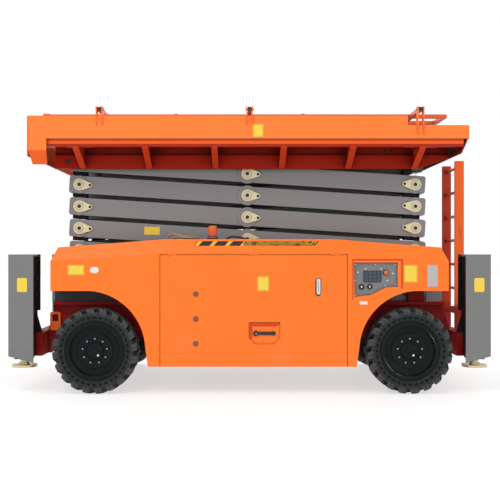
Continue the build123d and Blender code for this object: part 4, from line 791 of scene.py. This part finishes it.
KEY_ROWS, KEY_COLUMNS = 3, 4
KEY_FIRST, KEY_PITCH, KEY_SIZE = (1.125, 1.101), (0.0405, 0.0335), (0.0355, 0.029)  # x, z
STOP_AT = (1.335, -CONTROL_Y, 1.188)
DIALS = ((1.098, 1.048, 0.028), (1.178, 1.05, 0.026))  # x, z, radius
PLATE_SCREWS = ((1.036, 1.27), (1.434, 1.27), (1.434, 1.068), (1.33, 1.058), (1.195, 0.99),
                (1.044, 0.966), (1.036, 1.11), (1.235, 1.27))
PLATE_LAMPS = ((1.406, 1.18), (1.064, 1.19), (1.352, 1.11), (1.14, 1.226), (1.29, 1.226))
# strips of painted shade along the window's top, right and left edges: x, z
WINDOW_EDGES = (((1.006, 1.502), (1.306, 1.322)), ((1.484, 1.502), (1.03, 1.306)),
                ((1.006, 1.016), (0.925, 1.306)))


def controls():
    """Keys, emergency stop, dials, screws, and strips of painted shade along the window's edges at
    the ground-control plate.
    """
    out = (0, -1, 0)
    bm = bmesh.new()
    add_plate(bm, "near", (1.117, 1.291), (1.094, 1.204), 0.006, 0.008, 0, CONTROL_Y)
    for row in range(KEY_ROWS):
        for column in range(KEY_COLUMNS):
            x = KEY_FIRST[0] + column * KEY_PITCH[0]
            z = KEY_FIRST[1] + row * KEY_PITCH[1]
            add_plate(bm, "near", (x, x + KEY_SIZE[0]), (z, z + KEY_SIZE[1]), 0.0095, 0.004, 1,
                      CONTROL_Y)
    piece("control_keypad", bm, ["black", "screen"], "chassis", smooth=False)
    bm = bmesh.new()
    add_turned(bm, [(0.028, 0), (0.028, 0.002), (0.022, 0.003), (0.022, 0.004)], STOP_AT, out,
               mat=1)
    add_turned(bm, [(0.011, 0.003), (0.011, 0.017), (0.021, 0.019), (0.0215, 0.0235),
                    (0.018, 0.0275), (0.008, 0.029), (0, 0.0292)], STOP_AT, out)
    piece("control_stop_button", bm, ["stop_red", "black"], "chassis", slot="cover_orange")
    bm = bmesh.new()
    for x, z, radius in DIALS:
        at = (x, -CONTROL_Y, z)
        add_turned(bm, [(radius, 0), (radius, 0.006), (radius * 0.86, 0.009),
                        (radius * 0.8, 0.009), (radius * 0.78, 0.004), (0, 0.004)], at, out, 36)
        add_turned(bm, [(radius * 0.36, 0.004), (radius * 0.34, 0.012), (0, 0.012)], at, out,
                   24, 1)
    add_plate(bm, "near", (1.174, 1.182), (1.036, 1.064), 0.015, 0.003, 1, CONTROL_Y)
    piece("control_dials", bm, ["black", "silver"], "chassis")
    bm = bmesh.new()
    for spots, radius, height, mat in ((PLATE_SCREWS, 0.0058, 0.0028, 0),
                                       (PLATE_LAMPS, 0.0075, 0.004, 1)):
        for x, z in spots:
            add_dome(bm, (x, -CONTROL_Y, z), out, radius, height, mat)
    piece("control_screws", bm, ["silver", "white"], "chassis")
    bm = bmesh.new()
    for x, z in WINDOW_EDGES:
        add_plate(bm, "near", x, z, 0.0008, 0.004)
    piece("control_window_edge", bm, "edge_dark", "chassis", smooth=False)


def arm_label():
    bm = bmesh.new()
    add_plate(bm, "near", (-1.09, -0.93), (1.57, 1.652), LABEL_THICK, 0.004, 0, ARM_Y)
    piece("label_arm", bm, "yellow", "outer_arm_3", smooth=False)


# ---- Side covers and doors ----
DOOR_BOLTS_X, DOOR_BOLTS_Z = -0.527, (0.978, 0.735, 0.492)
HINGES_X, HINGE_Z, HINGE_LEAF = (-0.76, 0.04, 0.84), 1.3635, 0.016
LATCH_BAR_Y = SKIN_Y - 0.013
RECESS_RIM_Y, RECESS_FLOOR_Y, RECESS_WALL = SKIN_Y - 0.0012, SKIN_Y - 0.0122, 0.001


def door_bolts(side, sign):
    bm = bmesh.new()
    for z in DOOR_BOLTS_Z:
        at, out = (DOOR_BOLTS_X, sign * (SKIN_Y + 0.007), z), (0, sign, 0)
        add_turned(bm, [(0.0252, -0.0068), (0.0252, -0.002), (0.0225, 0.0006), (0.0125, 0.001),
                        (0.0115, -0.003), (0, -0.003)], at, out)
        add_turned(bm, [(0.015, -0.003), (0.015, 0.0018), (0.0125, 0.003), (0, 0.003)],
                   at, out, 24, 1)
    piece(f"door_bolts_{side}", bm, ["bolt", "bolt_core"], f"door_{side}")


def hinge_screws(side, sign):
    """Screws in both leaves of the hinges: the left pair above the seam, the right pair below."""
    bm = bmesh.new()
    for x in HINGES_X:
        for dx in (-0.032, -0.018, 0.018, 0.032):
            z = HINGE_Z + (HINGE_LEAF if dx < 0 else -HINGE_LEAF)
            add_dome(bm, (x + dx, sign * (SKIN_Y - 0.0002), z), (0, sign, 0), 0.0042, 0.0016)
    piece(f"hinge_screws_{side}", bm, "steel", "chassis")


def door_latch(side, sign):
    """The latch's grip in its recess, with a knob at each end and a rivet."""
    bm = bmesh.new()
    along = (1, 0, 0)
    add_turned(bm, [(0.0145, -0.108), (0.016, -0.1), (0.0165, 0), (0.016, 0.1),
                    (0.0145, 0.108)], (0.145, sign * LATCH_BAR_Y, LATCH_Z), along, 24)
    for x, radius in ((0.06, 0.027), (0.234, 0.02)):
        add_turned(bm, [(radius, -0.01), (radius, 0.01)], (x, sign * LATCH_BAR_Y, LATCH_Z),
                   along, 24)
    add_turned(bm, [(0.0075, 0), (0.0075, 0.0015), (0, 0.002)],
               (0.066, sign * (SKIN_Y + 0.0135), LATCH_Z), (0, sign, 0), 16, 1)
    piece(f"door_latch_{side}", bm, ["black", "stud"], f"door_{side}", slot="leg_black")


def lock_slot(side):
    """A rounded escutcheon with a dark edge, and a slit drawn as a black plate: painted shade of
    the opening.
    """
    bm = bmesh.new()
    add_plate(bm, side, (0.6495, 0.7005), (0.966, 1.137), 0.001, 0.025, 1)
    add_plate(bm, side, (0.6565, 0.6935), (0.973, 1.13), 0.0024, 0.0184, 0)
    # painted shade: the slit as a black plate
    add_plate(bm, side, (0.672, 0.676), (1, 1.103), 0.0028, 0.0015, 1)
    piece(f"lock_slot_{side}", bm, ["silver", "black"], f"door_{side}", smooth=False)


def recess_walls(side, sign):
    """The sloping top and left walls of the latch's recess, as thin plates from rim to floor, dark
    orange as painted shade.
    """
    rim, floor = RECESS_RIM_Y, RECESS_FLOOR_Y
    bm = bmesh.new()
    for corners in (((-0.005, rim, 0.697), (0.295, rim, 0.697), (0.262, floor, 0.66),
                     (0.026, floor, 0.66)),
                    ((-0.005, rim, 0.697), (0.026, floor, 0.66), (0.026, floor, 0.545),
                     (-0.005, rim, 0.552))):
        add_slab(bm, [[(x, sign * (y - drop), z) for x, y, z in corners]
                      for drop in (0, RECESS_WALL)])
    piece(f"latch_recess_walls_{side}", bm, "edge_dark", f"door_{side}", smooth=False)


def cover_trim():
    for side, sign in SIDES.items():
        door_bolts(side, sign)
        hinge_screws(side, sign)
        door_latch(side, sign)
        lock_slot(side)
        recess_walls(side, sign)


def hazard_band():
    """The slanting black and yellow band on the near cover's shoulder."""
    lean = math.atan2(SHOULDER_IN, SHOULDER_Z[1] - SHOULDER_Z[0])
    normal = Vector((0, -math.cos(lean), math.sin(lean)))
    up = Vector((0, math.sin(lean), math.cos(lean)))
    base = Vector((0, -SKIN_Y, SHOULDER_Z[0]))
    low, high = 0.0786, 0.1287  # up the slope
    corners = [(-0.55, low), (0.64, low), (0.689, high), (-0.515, high)]
    bm = bmesh.new()
    add_slab(bm, [[base + Vector((x, 0, 0)) + up * z + normal * out for x, z in corners]
                  for out in (-0.0005, 0.0008)])
    piece("hazard_band", bm, "hazard", "chassis", smooth=False)


# ---- Platform, arms and chassis ----
def rail_caps():
    """Black plugs in the open ends of the folded guard rails' tubes."""
    half = RAIL_PLUG_HALF
    for side, sign in SIDES.items():
        bm = bmesh.new()
        for x in RAIL_POSTS_X:
            add_side_box(bm, sign, (x - half, x + half), (1.1222, 1.1265), RAIL_TUBE_Z)
        for x, out in ((-2.125, -1), (2.036, 1)):
            for y in (0.226, 0.656):
                add_side_box(bm, sign, (x - out * 0.001, x + out * 0.003), (y - half, y + half),
                             RAIL_TUBE_Z)
        piece(f"rail_caps_{side}", bm, "black", f"side_rail_{side}", bevel=0.0025, slot="leg_black")


def ear_bolts():
    """Pin heads on the guard rails' ears and the small stops on the fascia's top edge."""
    bm = bmesh.new()
    for sign in SIDES.values():
        for x in RAIL_POSTS_X:
            for way in (-1, 1):
                add_nut(bm, (x + way * 0.033, sign * 1.096, 2.79), (way, 0, 0), 0.02, 0.01)
    piece("rail_ear_bolts", bm, "steel", "platform")
    bm = bmesh.new()
    for sign in SIDES.values():
        for x, half in ((-1.985, 0.035), (-0.72, 0.017), (0.522, 0.017)):
            add_side_box(bm, sign, (x - half, x + half), (1.1175, 1.1305), (2.7235, 2.743))
    piece("fascia_stops", bm, "rails", "platform", bevel=0.003)


def arm_place(stage):
    """The place of a stage's outer arm, whose own X runs along the bar."""
    middle = STAGE_ONE + Vector((0, 0, (stage - 1) * STAGE_RISE))
    return Matrix.Translation(middle) @ Matrix.Rotation(FOLD, 4, "Y")


KEEPER_R, KEEPER_TIP_R, KEEPER_REACH, KEEPER_STEPS = 0.0665, 0.0305, 0.112, 14
# where the black outline under each keeper lies, as painted shade
KEEPER_OUTLINE_Y = (0.5996, 0.6012)


def drop_outline(x, towards):
    """The outline of a drop: a large arc round the pin and a small one round its bolt."""
    lean = math.acos((KEEPER_R - KEEPER_TIP_R) / KEEPER_REACH)
    points = []
    for radius, middle, start, stop in (
            (KEEPER_TIP_R, x + towards * KEEPER_REACH, -lean, lean),
            (KEEPER_R, x, lean, 2 * math.pi - lean)):
        for k in range(KEEPER_STEPS + 1):
            a = start + (stop - start) * k / KEEPER_STEPS
            points.append((middle + towards * radius * math.cos(a), radius * math.sin(a)))
    return points


def keeper_parts():
    """Black outlines under each keeper and a black ring round its pin, both painted shade, the
    socket on its pin, and the bolt in its tip.
    """
    for stage in range(1, STAGES + 1):
        bm = bmesh.new()
        spots = [(0, 1), (ARM_PITCH / 2, -1)] + ([(-ARM_PITCH / 2, 1)] if stage < STAGES else [])
        for x, towards in spots:
            for sign in SIDES.values():
                out = (0, sign, 0)
                # painted shade: a black outline round each keeper
                add_slab(bm, [[(px, sign * y, pz) for px, pz in drop_outline(x, towards)]
                              for y in KEEPER_OUTLINE_Y])
                add_turned(bm, [(0.0195, -0.001), (0.0195, 0.003), (0.0165, 0.0042),
                                (0, 0.0042)], (x, sign * (KEEPER_Y + 0.004), 0), out, 24)
                # painted shade: a thin black ring round the pin
                add_turned(bm, [(0.0415, -0.001), (0.0415, 0.0012), (0.044, 0.0012),
                                (0.044, -0.001)], (x, sign * KEEPER_Y, 0), out, 36, closed=True)
                add_nut(bm, (x + towards * KEEPER_REACH, sign * KEEPER_Y, 0), out, 0.021, 0.008)
        bm.transform(arm_place(stage))
        piece(f"keeper_parts_{stage}", bm, "black", f"outer_arm_{stage}", slot="leg_black",
              bevel=0.0006, segments=1)


PAD_SINK, PAD_BELOW = 0.0006, 0.0388  # into the bar above, and down to the bar below


def rest_pads():
    """Black pads that the folded outer arms rest on, and a pair under the platform's channels."""
    under = -ARM_DEPTH / 2
    for stage in range(2, STAGES + 1):
        bm = bmesh.new()
        for x in ((-1.814, -1.664), (1.64, 1.806)):
            for sign in SIDES.values():
                add_side_box(bm, sign, x, (0.507, 0.593), (under - PAD_BELOW, under + PAD_SINK))
        bm.transform(arm_place(stage))
        piece(f"rest_pads_{stage}", bm, "pad", f"outer_arm_{stage}", bevel=0.002, slot="leg_black")
    bm = bmesh.new()
    channel_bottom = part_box("platform_channels")[0][2]
    for sign in SIDES.values():
        add_side_box(bm, sign, (1.598, 1.682), (0.512, 0.65), (2.2, channel_bottom + PAD_SINK))
    piece("rest_pads_platform", bm, "pad", "platform", bevel=0.004, slot="leg_black")


def channel_caps():
    """Dark caps over the pins in the platform's roller channels, and a slot in their webs drawn as
    a black plate: painted shade of the opening.
    """
    bm = bmesh.new()
    for sign in SIDES.values():
        for x in (-1.873, 1.728):
            add_turned(bm, [(0.022, -0.002), (0.022, 0.006), (0.018, 0.008), (0.01, 0.008),
                            (0.009, 0.003), (0, 0.003)], (x, sign * 0.68, 2.319),
                       (0, sign, 0), 28)
        # painted shade: the slot as a black plate
        add_side_box(bm, sign, (1.395, 1.475), (0.6494, 0.6512), (2.424, 2.443))
    piece("channel_pin_caps", bm, "black", "platform", slot="leg_black")


def shroud_trim():
    """Screws in the dark plates that close the shrouds, rivets outside, and lower plates."""
    corners = [(way, sign) for way in ENDS.values() for sign in SIDES.values()]
    bm = bmesh.new()
    for way, sign in corners:
        for z in (0.62, 0.79, 0.96, 1.13, 1.3):
            for y in (0.838, 1.078):
                add_dome(bm, (way * 2.1462, sign * y, z), (-way, 0, 0), 0.0065, 0.0035)
    piece("shroud_screws", bm, "steel", "chassis")
    bm = bmesh.new()
    for way, sign in corners:
        for z in (0.42, 0.88, 1.32):
            for x in (2.135, 2.35):
                add_dome(bm, (way * x, sign * (SHROUD_Y - 0.0002), z), (0, sign, 0), 0.006, 0.003)
    piece("shroud_rivets", bm, "shroud", "chassis", slot="shroud_grey")
    bm = bmesh.new()
    for way, sign in corners:
        add_side_box(bm, sign, (way * 2.147, way * 2.159), (0.892, 1.088), (0.362, 0.583))
    piece("shroud_lower_plates", bm, "leg", "chassis", bevel=0.002, slot="leg_black")


COVER_HOSES = (
    ("hose_upper", 0.0115, "tan", [
        (-0.86, -0.7, 1.42), (-0.85, -0.72, 1.5), (-0.815, -0.76, 1.585), (-0.73, -0.79, 1.56),
        (-0.64, -0.78, 1.548), (-0.56, -0.745, 1.52), (-0.545, -0.698, 1.44)]),
    ("hose_middle", 0.0115, "tan", [
        (-0.8, -0.7, 1.4), (-0.795, -0.73, 1.51), (-0.735, -0.8, 1.55), (-0.64, -0.83, 1.534),
        (-0.54, -0.8, 1.536), (-0.5, -0.74, 1.525), (-0.49, -0.698, 1.44)]),
    ("hose_lower", 0.01, "hose", [
        (-0.26, -0.7, 1.41), (-0.25, -0.725, 1.505), (-0.19, -0.775, 1.552),
        (-0.09, -0.78, 1.54), (0, -0.74, 1.515), (0.02, -0.698, 1.43)]),
)


def hoses():
    """Hoses over the near cover's inner edge by the beacon, and from the beams to the axle."""
    for name, radius, look, points in COVER_HOSES:
        tube(name, points, radius, look, "chassis")
    for side, sign in SIDES.items():
        for number, shift in enumerate((0, 0.045)):
            tube(f"axle_hose_{side}_{number + 1}",
                 [(1.43 - shift, sign * 0.623, 0.7), (1.425 - shift, sign * 0.66, 0.7),
                  (1.42 - shift, sign * 0.695, 0.64), (1.44 - shift, sign * 0.7, 0.54),
                  (1.48, sign * (0.68 - shift), 0.47), (1.512, sign * (0.68 - shift), 0.455)],
                 0.009, "hose", "chassis")


def beacon_foot():
    """The beacon's black foot and collar under its amber lens."""
    bm = bmesh.new()
    add_turned(bm, [(0.0545, -0.0005), (0.055, 0.016), (0.05, 0.0245), (0.0455, 0.025),
                    (0.0452, 0.034), (0.0441, 0.036)], BEACON_AT, (0, 0, 1), 40)
    piece("beacon_foot", bm, "black", "chassis", slot="leg_black")


# ---- Camera, light and floor ----
CAMERA_AT, LENS, SHIFT = (-0.084, -9.35, 1.38), 60.55, (0.018, 0.006)
LAMP_AIM = Vector((0, 0, 1.1))
LAMPS = (("key", (-3.2, -6, 7.5), 3, 170), ("fill", (5.5, -6.5, 4.5), 5, 40),
         ("back", (0.5, 6.5, 6.5), 5, 110))  # name, place, size, power
FLOOR_HALF, FLOOR_Z = 40, -0.0005


def camera():
    data = bpy.data.cameras.new("camera")
    data.lens = LENS
    data.shift_x, data.shift_y = SHIFT
    obj = placed("camera", data)
    obj.location = CAMERA_AT
    obj.rotation_euler = (math.radians(90), 0, 0)
    bpy.context.scene.camera = obj


def lights():
    for name, place, size, power in LAMPS:
        lamp = bpy.data.lights.new(name, "AREA")
        lamp.energy = power
        lamp.size = size
        obj = placed(name, lamp)
        obj.location = place
        obj.rotation_euler = (LAMP_AIM - Vector(place)).to_track_quat("-Z", "Y").to_euler()
    world = bpy.data.worlds.new("studio")
    world.use_nodes = True
    world.node_tree.nodes["Background"].inputs["Color"].default_value = (1, 1, 1, 1)
    bpy.context.scene.world = world
    bpy.context.scene.view_settings.view_transform = "Standard"


def pale_floor():
    mesh = bpy.data.meshes.new("floor")
    mesh.from_pydata([(x * FLOOR_HALF, y * FLOOR_HALF, FLOOR_Z)
                      for x, y in ((-1, -1), (1, -1), (1, 1), (-1, 1))], [], [(0, 1, 2, 3)])
    s = Shade("pale_floor")
    tone = s.mix(s.noise(2), (0.41, 0.41, 0.41), (0.44, 0.44, 0.44))
    mesh.materials.append(s.done(tone, 0.9, Emission_Color=(1, 1, 1), Emission_Strength=0.6))
    placed("floor", mesh)


for build in (wheels, labels, controls, arm_label, cover_trim, hazard_band, rail_caps,
              ear_bolts, keeper_parts, rest_pads, channel_caps, shroud_trim, hoses, beacon_foot,
              camera, lights, pale_floor):
    build()
